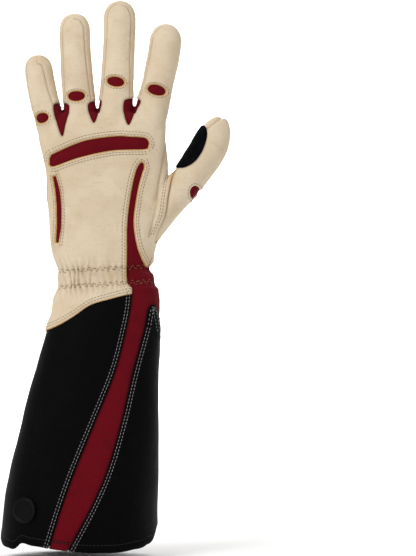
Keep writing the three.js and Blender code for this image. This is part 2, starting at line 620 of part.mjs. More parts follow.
const cuff = new THREE.Group();
cuff.name = "cuff";
cuff.add(
  piece("cuff_back_panel", blackLeather.subtract(palmSide(GAP)), "black_leather"),
  piece("cuff_palm_panel", blackLeather.intersect(palmSide(0)), "black_leather"),
  piece("cuff_wedge", forearm.intersect(wedge(0)), "black_leather"),
  piece("cuff_stripes", forearm.intersect(thumbSide(0)).subtract(wedge(GAP)), "red_stretch"),
);
const badgeCentre = onCuff(BADGE_PLACE);
const badgeRound = new THREE.EllipseCurve(badgeCentre.x, badgeCentre.y, BADGE_RADIUS, BADGE_RADIUS);
const badgeEdge = badgeRound.getPoints(BADGE_SIDES).slice(0, -1);
const badgeLayer = layer(cuffForm, GAP + BADGE_THICKNESS, GAP);
cuff.add(piece("badge", badgeLayer.intersect(throughBack(badgeEdge)), "badge_rubber"));

// The red that runs on from the forearm's stripes up the thumb side of the hand
const radialInsert = handFabric
  .intersect(throughBack(grown(radialSlot, STRIPE_MARGIN)))
  .subtract(cuffTop(GAP))
  .subtract(throughBack(grown(knuckleBand, STRIPE_MARGIN + GAP)));
hand.add(piece("radial_insert", radialInsert, "red_stretch"));

const glove = new THREE.Group();
glove.name = "rose_gauntlet";
glove.add(hand, cuff);

export default glove;
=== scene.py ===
"""Looks of a left-hand leather rose gauntlet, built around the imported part.

The glove is made flat about the plane y = 0 in millimetres, as its pattern is. Each face is cut
along signed distances to the pattern's outlines, shaped with rolled edges, seams and pleats, sewn,
and then leant forward into the curl of a relaxed hand.
"""

import logging
import math
from dataclasses import dataclass, field
from enum import Enum
from typing import Any, Sequence

import bpy
import numpy as np
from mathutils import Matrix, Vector
from mathutils.bvhtree import BVHTree

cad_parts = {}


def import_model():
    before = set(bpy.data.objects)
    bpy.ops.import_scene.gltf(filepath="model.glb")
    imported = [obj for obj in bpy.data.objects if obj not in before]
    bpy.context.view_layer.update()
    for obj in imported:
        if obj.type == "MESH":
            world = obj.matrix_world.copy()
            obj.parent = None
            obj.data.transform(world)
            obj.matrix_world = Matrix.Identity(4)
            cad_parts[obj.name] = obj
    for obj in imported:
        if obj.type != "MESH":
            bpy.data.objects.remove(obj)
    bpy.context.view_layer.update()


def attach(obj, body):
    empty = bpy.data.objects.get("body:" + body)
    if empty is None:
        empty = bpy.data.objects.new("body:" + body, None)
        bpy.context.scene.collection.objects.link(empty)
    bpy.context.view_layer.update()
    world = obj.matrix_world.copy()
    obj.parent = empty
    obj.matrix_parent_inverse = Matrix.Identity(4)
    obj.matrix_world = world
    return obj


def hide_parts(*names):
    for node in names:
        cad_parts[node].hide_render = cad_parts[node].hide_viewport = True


LOG = logging.getLogger("gauntlet")
MM = 0.001
AWAY = 200.0  # where rays towards the glove start, in millimetres from its middle
OUTSIDE = 12.0  # how far from an outline distances are worked out, where nothing else is said

HAND_LENGTH = 198.0  # wrist centre to just under the middle fingertip
CUFF_LENGTH = 198.0  # wrist centre to the lowest point of the hem
TUCK = 1.6  # how far the forearm lies inside the wrist leather

Pairs = Sequence[tuple[float, float]]


class Face(Enum):
    """Which face of the flat glove something lies on."""

    BACK = -1
    PALM = 1

    @property
    def other(self) -> "Face":
        """The opposite face.

        Returns:
            That face.
        """
        return Face(-self.value)


# Numbers and curves


def smoothstep(x: np.ndarray, low: float, high: float) -> np.ndarray:
    """Eases from 0 at low to 1 at high.

    Args:
        x: Values to ease.
        low: Where the ease starts.
        high: Where it ends.

    Returns:
        The eased values.
    """
    t = np.clip((x - low) / (high - low), 0.0, 1.0)
    return t * t * (3.0 - 2.0 * t)


def bell(distance: np.ndarray, width: float) -> np.ndarray:
    """How near something is, from 0 to 1.

    Args:
        distance: Distance from it.
        width: Where it has faded.

    Returns:
        The nearness.
    """
    return np.exp(-((distance / width) ** 2))


# Factors that scramble a cell's place, and the largest scrambled value.
PRIMES = tuple(np.uint64(p) for p in (73856093, 19349663, 83492791, 1274126177))
HASHES = np.uint64(65535)


def noise(points: np.ndarray, size: float | Sequence[float], seed: int, octaves: int = 3) -> np.ndarray:
    """Smooth random values from about -1 to 1.

    Args:
        points: Places, n by 3, in millimetres.
        size: Size of the largest features, or one size for each axis.
        seed: Picks the pattern.
        octaves: How many finer layers are added.

    Returns:
        One value for each place.
    """
    total = np.zeros(len(points))
    weight, norm = 1.0, 0.0
    for octave in range(octaves):
        p = points / np.asarray(size, float) * 2.0**octave + 31.7 * (seed + octave)
        cell = np.floor(p).astype(np.int64)
        t = p - cell
        t = t * t * (3.0 - 2.0 * t)
        value = np.zeros(len(points))
        for corner in range(8):
            offset = np.array([corner & 1, corner >> 1 & 1, corner >> 2 & 1])
            c = (cell + offset).astype(np.uint64)
            h = c[:, 0] * PRIMES[0] ^ c[:, 1] * PRIMES[1] ^ c[:, 2] * PRIMES[2]
            h = (h ^ (h >> np.uint64(13))) * PRIMES[3]
            h = (h ^ (h >> np.uint64(16))) & HASHES
            w = np.prod(np.where(offset == 1, t, 1.0 - t), axis=1)
            value += w * (h.astype(float) / (float(HASHES) / 2) - 1.0)
        total += weight * value
        norm += weight
        weight *= 0.5
    return total / norm


def spline(points: Pairs, step: float = 1.0, closed: bool = False) -> np.ndarray:
    """A smooth line through points in the pattern's plane.

    Args:
        points: Places (x, z) in millimetres.
        step: Spacing of the places returned.
        closed: Whether the line returns to its start.

    Returns:
        Places along the line, n by 2.
    """
    p = np.asarray(points, float)
    ends = (p[-1:], p[:2]) if closed else (2 * p[:1] - p[1:2], 2 * p[-1:] - p[-2:-1])
    q = np.vstack([ends[0], p, ends[1]])
    pieces = []
    for k in range(1, len(q) - 2):
        n = max(2, int(np.linalg.norm(q[k + 1] - q[k]) / step))
        t = np.linspace(0.0, 1.0, n, endpoint=False)[:, None]
        a, b, c, d = q[k - 1 : k + 3]
        pieces.append(
            0.5 * (2 * b + (c - a) * t + (2 * a - 5 * b + 4 * c - d) * t**2 + (3 * b - a - 3 * c + d) * t**3)
        )
    if not closed:
        pieces.append(q[-2:-1])
    return np.vstack(pieces)


def line_distance(places: np.ndarray, line: np.ndarray, reach: float = 1e9) -> np.ndarray:
    """Distance from places to a line, in the pattern's plane.

    Args:
        places: Places (x, z), n by 2.
        line: Places along the line.
        reach: Distances past this one aren't worked out.

    Returns:
        One distance for each place.
    """
    result = np.full(len(places), reach)
    low, high = line.min(0) - reach, line.max(0) + reach
    near = np.flatnonzero(((places >= low) & (places <= high)).all(1))
    p = places[near]
    best = np.full(len(near), reach**2)
    for a, b in zip(line[:-1], line[1:]):
        d = b - a
        t = np.clip((p - a) @ d / max(d @ d, 1e-12), 0.0, 1.0)
        best = np.minimum(best, ((p - a - t[:, None] * d) ** 2).sum(1))
    result[near] = np.sqrt(best)
    return result


@dataclass(frozen=True)
class Outline:
    """A closed outline in the pattern's plane.

    Attributes:
        line: Places along it, without the first one again at the end.
    """

    line: np.ndarray

    @classmethod
    def smooth(cls, points: Pairs, step: float = 1.0) -> "Outline":
        """An outline rounded through its points.

        Args:
            points: Places (x, z) in millimetres.
            step: Spacing along it.

        Returns:
            The outline.
        """
        return cls(spline(points, step, closed=True))

    @classmethod
    def oval(cls, centre: tuple[float, float], width: float, height: float, turn: float) -> "Outline":
        """An ellipse.

        Args:
            centre: Its middle.
            width: Full width.
            height: Full height.
            turn: Degrees that it is turned, anticlockwise.

        Returns:
            The outline.
        """
        a = np.linspace(0.0, 2 * np.pi, 48, endpoint=False)
        c, s = math.cos(math.radians(turn)), math.sin(math.radians(turn))
        x, z = np.cos(a) * width / 2, np.sin(a) * height / 2
        return cls(np.column_stack([centre[0] + c * x - s * z, centre[1] + s * x + c * z]))

    @classmethod
    def around(cls, spine: Pairs, widths: Sequence[float]) -> "Outline":
        """A slender outline around a line.

        Args:
            spine: Places along its middle.
            widths: Full width at each of them.

        Returns:
            The outline.
        """
        line = spline(spine, 1.5)
        ahead = np.gradient(line, axis=0)
        ahead /= np.linalg.norm(ahead, axis=1)[:, None]
        share = np.linspace(0.0, 1.0, len(line))
        half = np.interp(share, np.linspace(0.0, 1.0, len(widths)), widths)[:, None] / 2
        half *= np.sqrt(np.sin(np.pi * (0.03 + 0.94 * share)))[:, None] ** 0.5  # narrows to round ends
        across = np.column_stack([-ahead[:, 1], ahead[:, 0]])
        return cls(np.vstack([line + half * across, (line - half * across)[::-1]]))

    def ring(self, outwards: float) -> np.ndarray:
        """The outline moved outwards, closed.

        Args:
            outwards: How far, in millimetres.

        Returns:
            Places along it, with the first again at the end.
        """
        ahead = np.roll(self.line, -1, 0) - np.roll(self.line, 1, 0)
        ahead /= np.linalg.norm(ahead, axis=1)[:, None]
        x, z = self.line.T
        area = np.sum(x * np.roll(z, -1) - np.roll(x, -1) * z)
        moved = self.line + np.sign(area) * outwards * np.column_stack([ahead[:, 1], -ahead[:, 0]])
        return np.vstack([moved, moved[:1]])

    def inside(self, places: np.ndarray, reach: float = OUTSIDE) -> np.ndarray:
        """Signed distance to the outline, positive inside.

        Args:
            places: Places (x, z), n by 2.
            reach: Distances past this one aren't worked out.

        Returns:
            One distance for each place.
        """
        closed = np.vstack([self.line, self.line[:1]])
        distance = line_distance(places, closed, reach)
        low, high = self.line.min(0), self.line.max(0)
        near = np.flatnonzero(((places >= low) & (places <= high)).all(1))
        p = places[near]
        odd = np.zeros(len(near), bool)
        for (x1, z1), (x2, z2) in zip(closed[:-1], closed[1:]):
            if z1 != z2:
                crosses = (z1 > p[:, 1]) != (z2 > p[:, 1])
                odd ^= crosses & (p[:, 0] < (x2 - x1) * (p[:, 1] - z1) / (z2 - z1) + x1)
        sign = np.full(len(places), -1.0)
        sign[near[odd]] = 1.0
        return sign * distance


# Surfaces


@dataclass
class Skin:
    """A triangle surface in millimetres, with values carried by its points.

    Attributes:
        points: Places, n by 3.
        faces: Triangles, m by 3.
        values: Named values, one for each point.
    """

    points: np.ndarray
    faces: np.ndarray
    values: dict[str, np.ndarray] = field(default_factory=dict)

    def normals(self) -> np.ndarray:
        """Unit normals at the points.

        Returns:
            n by 3.
        """
        a, b, c = (self.points[self.faces[:, k]] for k in range(3))
        flat = np.cross(b - a, c - a)
        total = np.zeros_like(self.points)
        for k in range(3):
            for axis in range(3):
                total[:, axis] += np.bincount(self.faces[:, k], flat[:, axis], len(self.points))
        return total / np.maximum(np.linalg.norm(total, axis=1), 1e-12)[:, None]

    def carry(self, normals: np.ndarray) -> None:
        """Writes normals on the points as values.

        Args:
            normals: One for each point.
        """
        for k, axis in enumerate("xyz"):
            self.values["n" + axis] = normals[:, k]

    def edges(self) -> np.ndarray:
        """The triangles' edges, each in its triangle's direction.

        Returns:
            Pairs of points, 3 m by 2.
        """
        return np.vstack([self.faces[:, [0, 1]], self.faces[:, [1, 2]], self.faces[:, [2, 0]]])

    def clipped(self, level: np.ndarray) -> "Skin":
        """The part of the surface where a value isn't negative, cut cleanly along zero.

        Args:
            level: One value for each point.

        Returns:
            A new surface.
        """
        inside = level >= 0
        marks = inside[self.faces]
        count = marks.sum(1)
        kept = [self.faces[count == 3]]
        pairs, plans = [], []
        for wanted in (1, 2):
            rows = self.faces[count == wanted]
            odd = np.argmax(marks[count == wanted] if wanted == 1 else ~marks[count == wanted], axis=1)
            turned = np.take_along_axis(rows, (odd[:, None] + np.arange(3)) % 3, axis=1)
            plans.append(turned)
            pairs += [turned[:, [0, 1]], turned[:, [0, 2]]]
        every = np.sort(np.vstack(pairs), axis=1)
        edges, place = np.unique(every, axis=0, return_inverse=True)
        place = place.reshape(-1) + len(self.points)
        la, lb = level[edges[:, 0]], level[edges[:, 1]]
        t = np.clip(la / np.where(la == lb, 1.0, la - lb), 0.002, 0.998)

        def mix(v: np.ndarray) -> np.ndarray:
            """Adds values where the cut crosses an edge.

            Args:
                v: Values at the points.

            Returns:
                These values, then those on the cut.
            """
            start, end = v[edges[:, 0]], v[edges[:, 1]]
            return np.concatenate([v, start + (end - start) * (t if v.ndim == 1 else t[:, None])])

        one, two = plans
        cut = np.split(place, np.cumsum([len(one), len(one), len(two)]))
        kept.append(np.column_stack([one[:, 0], cut[0], cut[1]]))
        kept.append(np.column_stack([cut[2], two[:, 1], two[:, 2]]))
        kept.append(np.column_stack([cut[2], two[:, 2], cut[3]]))
        faces = np.vstack(kept)
        used, faces = np.unique(faces, return_inverse=True)
        values = {k: mix(v)[used] for k, v in self.values.items()}
        return Skin(mix(self.points)[used], faces.reshape(-1, 3), values)

    def walled(self, thickness: float, inner: bool) -> "Skin":
        """The surface with its edges turned in.

        Args:
            thickness: How deep the turned edges go.
            inner: Whether an inner face closes it too.

        Returns:
            A new surface.
        """
        edges = self.edges()
        _, first, count = np.unique(np.sort(edges, axis=1), axis=0, return_index=True, return_counts=True)
        rim = edges[first[count == 1]]
        n = len(self.points)
        below = self.points - self.normals() * thickness
        used, low = (np.arange(n), rim) if inner else np.unique(rim, return_inverse=True)
        low = low.reshape(-1, 2) + n
        walls = [self.faces, self.faces[:, ::-1] + n] if inner else [self.faces]
        walls += [np.column_stack([rim[:, 1], rim[:, 0], low[:, 0]])]
        walls += [np.column_stack([rim[:, 1], low[:, 0], low[:, 1]])]
        values = {k: np.concatenate([v, v[used]]) for k, v in self.values.items()}
        return Skin(np.vstack([self.points, below[used]]), np.vstack(walls), values)


def loft(rings: Sequence[np.ndarray]) -> tuple[np.ndarray, np.ndarray]:
    """Skins equal rings and closes both ends.

    Args:
        rings: Rings of n places each, turning anticlockwise seen from the last one.

    Returns:
        Points and triangles.
    """
    n = len(rings[0])
    points = np.vstack([*rings, rings[0].mean(0), rings[-1].mean(0)])
    i = np.arange(n)
    j = (i + 1) % n
    faces = []
    for k in range(len(rings) - 1):
        a, b = k * n, (k + 1) * n
        faces += [np.column_stack([a + i, a + j, b + j]), np.column_stack([a + i, b + j, b + i])]
    last = (len(rings) - 1) * n
    faces += [np.column_stack([j, i, np.full(n, len(points) - 2)])]
    faces += [np.column_stack([last + i, last + j, np.full(n, len(points) - 1)])]
    return points, np.vstack(faces)


@dataclass(frozen=True)
class Lean:
    """The relaxed curl: points move towards the palm only, so the front view stays.

    Attributes:
        start: Height where the fingers begin to lean.
        soft: Length over which the lean begins.
        curl: How far the middle fingertip leans.
        root: Where the thumb leaves the hand.
        tip: The thumb's tip.
        forward: How far the thumb's tip leans.
        inner: Distance across the thumb where its lean starts to fade.
        outer: Distance where it has faded.
    """

    start: float = 0.42 * HAND_LENGTH
    soft: float = 0.18 * HAND_LENGTH
    curl: float = 14.0
    root: tuple[float, float] = (39.8, 51.1)
    tip: tuple[float, float] = (84.1, 116.4)
    forward: float = 14.0
    inner: float = 9.2
    outer: float = 27.6

    def __call__(self, points: np.ndarray) -> np.ndarray:
        """Leans points.

        Args:
            points: Places, n by 3.

        Returns:
            The moved places.
        """

        def ramp(d: np.ndarray, soft: float) -> np.ndarray:
            """Rises from 0 softly, then straight.

            Args:
                d: Distance past the start.
                soft: Length over which it bends.

            Returns:
                The rise.
            """
            return np.where(d < soft, np.maximum(d, 0.0) ** 2 / (2 * soft), d - soft / 2)

        x, z = points[:, 0], points[:, 2]
        span = math.dist(self.root, self.tip)
        ax, az = (self.tip[0] - self.root[0]) / span, (self.tip[1] - self.root[1]) / span
        along = (x - self.root[0]) * ax + (z - self.root[1]) * az
        inwards = (z - self.root[1]) * ax - (x - self.root[0]) * az
        reach = ramp(along, 0.4 * span) / (0.8 * span)
        moved = points.copy()
        bent = HAND_LENGTH - self.start - self.soft / 2
        moved[:, 1] += self.curl * ramp(z - self.start, self.soft) / bent
        moved[:, 1] += self.forward * reach * (1 - smoothstep(inwards, self.inner, self.outer))
        return moved


LEAN = Lean()


# The glove's pattern, in millimetres


@dataclass(frozen=True)
class Station:
    """How far the tube's wall lies from its centre line at one height.

    Attributes:
        left: Towards the little finger.
        right: Towards the thumb.
        back: Towards the back of the hand.
        palm: Towards the palm.
    """

    left: float
    right: float
    back: float
    palm: float


PALM_WIDTH, HEM_WIDTH = 93.0, 115.0
WRIST = Station(34.9, 33.5, 20.6, 21.4)
KNUCKLES = Station(49.3, 43.7, 14.3, 13.7)
CUFF_TOP = Station(39.2, 40.8, 27.4, 28.6)
HEM = Station(77.0, 38.0, 45.1, 46.9)

# Height as a share of a length, the shares left, right, back and palm of the way to the next station, and
# how square the section is.
HAND_ROWS = (
    (0.6, 0.1, 0.55, 1.75, 1.75, 2.2),
    (0.575, 0.75, 0.85, 1.35, 1.35, 2.4),
    (0.53, 0.95, 0.9, 1.0, 1.0, 2.5),
    (0.47, 0.85, 0.95, 0.93, 0.8, 2.5),
    (0.38, 0.6, 1.05, 0.85, 0.55, 2.5),
    (0.28, 0.5, 1.0, 0.7, 0.32, 2.5),
    (0.19, 0.43, 0.6, 0.5, 0.2, 2.4),
    (0.115, 0.36, 0.24, 0.28, 0.1, 2.3),
    (0.07, 0.23, 0.12, 0.12, 0.05, 2.2),
    (0.033, 0.02, -0.02, 0.0, 0.0, 2.2),
    (0.0, 0.03, 0.05, 0.0, 0.0, 2.2),
)
WRIST_ROWS = (
    (0.037, 0.12, 0.8, 0.3, 0.3, 2.15),
    (0.075, 0.75, 1.0, 0.7, 0.7, 2.1),
    (0.12, 1.0, 1.0, 1.0, 1.0, 2.1),
)
CUFF_ROWS = ((0.19, 0.12), (0.28, 0.265), (0.42, 0.47), (0.58, 0.69), (0.76, 0.885), (1.03, 1.01))


@dataclass(frozen=True)
class Digit:
    """A finger or the thumb.

    Attributes:
        name: Its name.
        path: Centre line, as shares of the palm's width across and the hand's length up.
        root: Half width where it leaves the hand.
        wide: Half width further up.
        deep: Half depth.
        tip: Length of its rounded end, in half widths.
    """

    name: str
    path: Pairs
    root: float
    wide: float
    deep: float
    tip: float = 1.15

    def centre(self) -> np.ndarray:
        """The centre line in millimetres.

        Returns:
            Places (x, z), n by 2, a millimetre apart.
        """
        return spline(self.path, 0.004) * (PALM_WIDTH, HAND_LENGTH)

    def crossing(self, k: int, up: float, reach: float, count: int) -> np.ndarray:
        """A straight row across the digit.

        Args:
            k: The place on the centre line that it crosses at.
            up: Its height there.
            reach: Its half length, in half widths.
            count: How many places it has.

        Returns:
            Places (x, z), n by 2.
        """
        line = self.centre()
        ahead = line[min(k + 3, len(line) - 1)] - line[max(k - 3, 0)]
        across = np.array([ahead[1], -ahead[0]]) / np.linalg.norm(ahead)
        share = np.linspace(-reach, reach, count)[:, None] * self.wide
        return np.array([line[k, 0], up]) + share * across

    def rings(self, sides: int = 72) -> list[np.ndarray]:
        """The digit's sections from its root to its tip.

        Args:
            sides: Points in each section.

        Returns:
            The sections.
        """
        line = self.centre()
        along = np.concatenate([[0.0], np.cumsum(np.linalg.norm(np.diff(line, axis=0), axis=1))])
        length, tip = along[-1], self.tip * self.wide
        body = np.linspace(0.0, length - tip, 50)
        bend = np.radians(np.linspace(4, 88, 22))
        rows = (0.0, 0.3, 0.62, 1.0)
        swell = hermite(rows, (1.0, 0.55, 0.03, 0.0), body / (length - tip))
        thick = hermite(rows, (1.0, 1.07, 0.99, 0.94), body / (length - tip))
        wide = self.wide + (self.root - self.wide) * swell
        shrink = np.cos(bend) ** 0.9
        wide = np.concatenate([wide, self.wide * shrink])
        deep = np.concatenate([self.deep * thick, self.deep * 0.94 * shrink])
        rings = []
        for distance, w, d in zip(np.concatenate([body, length - tip + tip * np.sin(bend)]), wide, deep):
            x, z = (np.interp(distance, along, line[:, k]) for k in (0, 1))
            ahead = np.array([np.interp(distance, along, np.gradient(line[:, k], along)) for k in (0, 1)])
            ahead /= np.linalg.norm(ahead)
            across, through = section(sides, w, w, d, d, 2.1)
            rings.append(np.column_stack([x + across * ahead[1], through, z - across * ahead[0]]))
        return rings


def hermite(xs: Sequence[float], ys: Sequence[float], x: np.ndarray) -> np.ndarray:
    """A smooth curve through a table.

    Args:
        xs: Rising places.
        ys: Values there.
        x: Where to read the curve.

    Returns:
        The curve's values.
    """
    xs, ys = np.asarray(xs, float), np.asarray(ys, float)
    slope = np.gradient(ys, xs)
    k = np.clip(np.searchsorted(xs, x) - 1, 0, len(xs) - 2)
    h = xs[k + 1] - xs[k]
    t = np.clip((x - xs[k]) / h, 0.0, 1.0)
    a, b = ys[k], ys[k + 1]
    bend = h * (slope[k] * t * (1 - t) ** 2 - slope[k + 1] * t * t * (1 - t))
    return a + (b - a) * t * t * (3 - 2 * t) + bend


def section(
    sides: int, left: float, right: float, back: float, palm: float, square: float
) -> tuple[np.ndarray, np.ndarray]:
    """A rounded section, from the thumb's side by way of the palm.

    Args:
        sides: How many points.
        left: Its reach towards the little finger.
        right: Its reach towards the thumb.
        back: Its reach towards the back of the hand.
        palm: Its reach towards the palm.
        square: 2 for an ellipse, more for a squarer section.

    Returns:
        The points' places across and through.
    """
    angle = np.arange(sides) / sides * 2 * np.pi
    c, s = np.cos(angle), np.sin(angle)
    s[np.abs(s) < 1e-12] = 0.0
    across = (right - left) / 2 + (right + left) / 2 * np.sign(c) * np.abs(c) ** (2 / square)
    return across, np.where(s < 0, back, palm) * np.sign(s) * np.abs(s) ** (2 / square)


@dataclass(frozen=True)
class Tube:
    """The glove's tube from the knuckles to the hem, by its sections.

    Attributes:
        rows: Height, left, right, back, palm and squareness of each section, from the bottom up.
    """

    rows: np.ndarray

    @classmethod
    def of_glove(cls) -> "Tube":
        """The tube of this glove.

        Returns:
            The tube.
        """
        cuff = [(up, share, share, share, share, 2.1 + 0.3 * min(share, 1.0)) for up, share in CUFF_ROWS]
        parts = (
            (HAND_ROWS, HAND_LENGTH, WRIST, KNUCKLES),
            (WRIST_ROWS, -CUFF_LENGTH, WRIST, CUFF_TOP),
            (cuff, -CUFF_LENGTH, CUFF_TOP, HEM),
        )
        rows = []
        for table, length, low, high in parts:
            a = np.array([low.left, low.right, low.back, low.palm])
            b = np.array([high.left, high.right, high.back, high.palm])
            rows += [[up * length, *(a + (b - a) * np.array(shares[:4])), shares[4]] for up, *shares in table]
        return cls(np.array(sorted(rows)))

    def ring(self, height: float, sides: int, grow: float = 0.0) -> np.ndarray:
        """One section.

        Args:
            height: Where it lies.
            sides: How many points.
            grow: How far it is grown outwards.

        Returns:
            Its points.
        """
        at = np.array([height])
        sizes = [float(hermite(self.rows[:, 0], self.rows[:, k], at)[0]) for k in range(1, 6)]
        across, through = section(sides, *(size + grow for size in sizes[:4]), sizes[4])
        return np.column_stack([across, through, np.full(sides, height)])


TUBE = Tube.of_glove()
DIGITS = (
    Digit("little", ((-0.39, 0.5), (-0.49, 0.665), (-0.548, 0.816)), 10.8, 10.2, 9.2),
    Digit("ring", ((-0.18, 0.51), (-0.236, 0.782), (-0.255, 0.966)), 12.3, 11.2, 10.0),
    Digit("middle", ((0.062, 0.51), (0.09, 0.76), (0.108, 1.014)), 13.3, 11.5, 10.25),
    Digit("index", ((0.3, 0.51), (0.433, 0.782), (0.475, 0.928)), 12.6, 11.6, 10.25),
    Digit(
        "thumb",
        ((0.2, 0.14), (0.428, 0.258), (0.58, 0.327), (0.682, 0.385), (0.797, 0.47), (0.904, 0.588)),
        15.3,
        11.85,
        11.5,
        1.8,
    ),
)
BY_NAME = {digit.name: digit for digit in DIGITS}


def on_hand(points: Pairs) -> list[tuple[float, float]]:
    """Pattern shares on the hand in millimetres.

    Args:
        points: Shares of the palm's width across and the hand's length up.

    Returns:
        Places (x, z).
    """
    return [(x * PALM_WIDTH, z * HAND_LENGTH) for x, z in points]


def on_cuff(points: Pairs) -> list[tuple[float, float]]:
    """Pattern shares on the forearm in millimetres.

    Args:
        points: Shares of the hem's width across and the cuff's length up.

    Returns:
        Places (x, z).
    """
    return [(x * HEM_WIDTH, z * CUFF_LENGTH) for x, z in points]


TURNED = 0.4  # how far the leather is turned back from the line of an opening
KNUCKLE_BAND = Outline.smooth(on_hand((
    (-0.435, 0.424), (-0.41, 0.406), (-0.2, 0.438), (0.05, 0.463), (0.3, 0.468), (0.321, 0.475),
    (0.332, 0.486), (0.321, 0.498), (0.3, 0.505), (0.2, 0.5085), (0.078, 0.51), (-0.16, 0.493),
    (-0.39, 0.45), (-0.424, 0.44),
)))
RADIAL_SLOT = Outline.smooth(on_hand((
    (0.28, 0.416), (0.247, 0.394), (0.222, 0.352), (0.197, 0.289), (0.175, 0.194), (0.174, 0.06),
    (0.174, 0.0), (0.181, -0.018), (0.205, -0.03), (0.214, -0.05), (0.214, -0.3), (0.62, -0.3),
    (0.66, -0.1), (0.62, 0.075), (0.42, 0.07), (0.385, 0.052), (0.36, 0.04), (0.33, 0.037), (0.303, 0.05),
    (0.255, 0.094), (0.227, 0.144), (0.213, 0.204), (0.227, 0.267), (0.25, 0.329), (0.276, 0.374),
    (0.294, 0.402),
)))
LITTLE_SLOT = Outline.around(
    on_hand(((-0.4, 0.366), (-0.377, 0.319), (-0.364, 0.259), (-0.364, 0.194), (-0.38, 0.13))),
    (2.6, 2.794, 2.6),
)
THUMB_SEAM_BACK = on_hand((
    (0.5, 0.42), (0.535, 0.405), (0.505, 0.358), (0.482, 0.295), (0.46, 0.226), (0.4, 0.16), (0.385, 0.13),
))
THUMB_SEAM_PALM = on_hand((
    (0.48, 0.415), (0.41, 0.363), (0.355, 0.393), (0.33, 0.44), (0.305, 0.484), (0.265, 0.468),
    (0.19, 0.38), (0.12, 0.305), (0.104, 0.251), (0.128, 0.185), (0.182, 0.141), (0.252, 0.116),
    (0.337, 0.131), (0.42, 0.155),
))
THUMB_FAR = on_hand(((0.55, 0.1), (1.4, 0.1), (1.4, 0.8), (0.6, 0.8)))
PALM_PAD = Outline.smooth(on_hand((
    (0.258, 0.469), (0.14, 0.476), (0, 0.469), (-0.116, 0.447), (-0.233, 0.409), (-0.35, 0.376),
    (-0.452, 0.36), (-0.456, 0.272), (-0.45, 0.206), (-0.396, 0.152), (-0.314, 0.127), (-0.256, 0.137),
    (-0.222, 0.156), (-0.174, 0.14), (-0.116, 0.14), (-0.058, 0.162), (-0.012, 0.2), (0.034, 0.255),
    (0.1, 0.318), (0.163, 0.385), (0.215, 0.44),
)))
THUMB_PAD = Outline.smooth(on_hand((
    (0.49, 0.42), (0.54, 0.4), (0.62, 0.402), (0.7, 0.428), (0.76, 0.475), (0.785, 0.53), (0.745, 0.56),
    (0.62, 0.55), (0.52, 0.48),
)))
GUSSETS = {
    "web_gusset_little": ((-0.4, 0.628), (-0.37, 0.551), (-0.333, 0.513), (-0.312, 0.551), (-0.29, 0.626)),
    "web_gusset_middle": ((-0.13, 0.634), (-0.125, 0.596), (-0.088, 0.562), (-0.058, 0.6), (-0.04, 0.642)),
    "web_gusset_index": ((0.15, 0.645), (0.146, 0.592), (0.18, 0.555), (0.226, 0.604), (0.262, 0.646)),
}
# The gussets on the palm: where the round lower end turns, and how high the red cloth reaches.
WEB_TURNS = on_hand(((-0.334, 0.572), (-0.074, 0.615), (0.212, 0.614)))
WEB_TOPS = (121.5, 130.0, 131.0)
WEB_REACH = (4.6, 3.7)  # half width and depth of the round end
WINDOWS = {  # across, up, width, height, turn
    "little_window": (-0.494, 0.58, 8.9, 6.3, 12),
    "ring_window": (-0.228, 0.66, 12.0, 6.3, 2),
    "middle_window": (0.075, 0.713, 12.4, 6.1, -8),
    "index_window": (0.393, 0.682, 13.0, 6.5, -14),
    "thumb_window": (0.694, 0.307, 7.0, 9.8, 6),
}


def window_outlines() -> list[Outline]:
    """The windows over the knuckles.

    Returns:
        Their outlines.
    """
    return [Outline.oval(on_hand([row[:2]])[0], *row[2:]) for row in WINDOWS.values()]


def palm_webs(flat: np.ndarray) -> np.ndarray:
    """Signed distance into the gussets on the palm.

    Args:
        flat: Places (x, z), n by 2.

    Returns:
        One distance for each place, positive in a gusset.
    """
    x, z = flat.T
    wide, deep = WEB_REACH
    webs = []
    for (turn_x, turn_z), top in zip(WEB_TURNS, WEB_TOPS, strict=True):
        end = deep - np.hypot(deep / wide * (x - turn_x), np.minimum(z - turn_z, 0))
        webs.append(np.minimum(end, top - z))
    return np.max(webs, axis=0)


# Digit, the side it covers, its edges on the back and on the palm as shares of the half depth, and its
# lowest point.
SIDE_STRIPS = (
    ("little", 1, 0.88, 0.6, 124.3), ("ring", -1, 0.6, 0.6, 124.0), ("ring", 1, 0.74, 0.6, 125.5),
    ("middle", -1, 0.6, 0.6, 127.1), ("middle", 1, 0.66, 0.6, 127.7), ("index", -1, 0.55, 0.6, 127.9),
)
SKIRT = {
    Face.BACK: ((-0.8, -0.19), (-0.45, -0.186), (-0.34, -0.164), (-0.256, -0.141), (-0.116, -0.098),
        (0.031, -0.076), (0.147, -0.062), (0.21, -0.056), (0.8, -0.05)),
    Face.PALM: ((-0.8, -0.19), (-0.46, -0.2), (-0.4, -0.236), (-0.3, -0.24), (-0.21, -0.229), (-0.1, -0.194),
        (0.073, -0.116), (0.19, -0.068), (0.259, -0.061), (0.39, -0.071), (0.8, -0.075)),
}
STRIPE_NEAR = {  # the stripes' edges towards the little finger
    Face.BACK: on_cuff(((0.163, 0.03), (0.163, -0.08), (0.13, -0.19), (0.063, -0.338), (-0.057, -0.513),
        (-0.18, -0.687), (-0.262, -0.82), (-0.35, -0.98), (-0.4, -1.06))),
    Face.PALM: on_cuff(((0.35, 0.03), (0.33, -0.06), (0.284, -0.14), (0.272, -0.251), (0.26, -0.338),
        (0.178, -0.513), (0.059, -0.687), (-0.065, -0.82), (-0.235, -0.98), (-0.3, -1.06))),
}
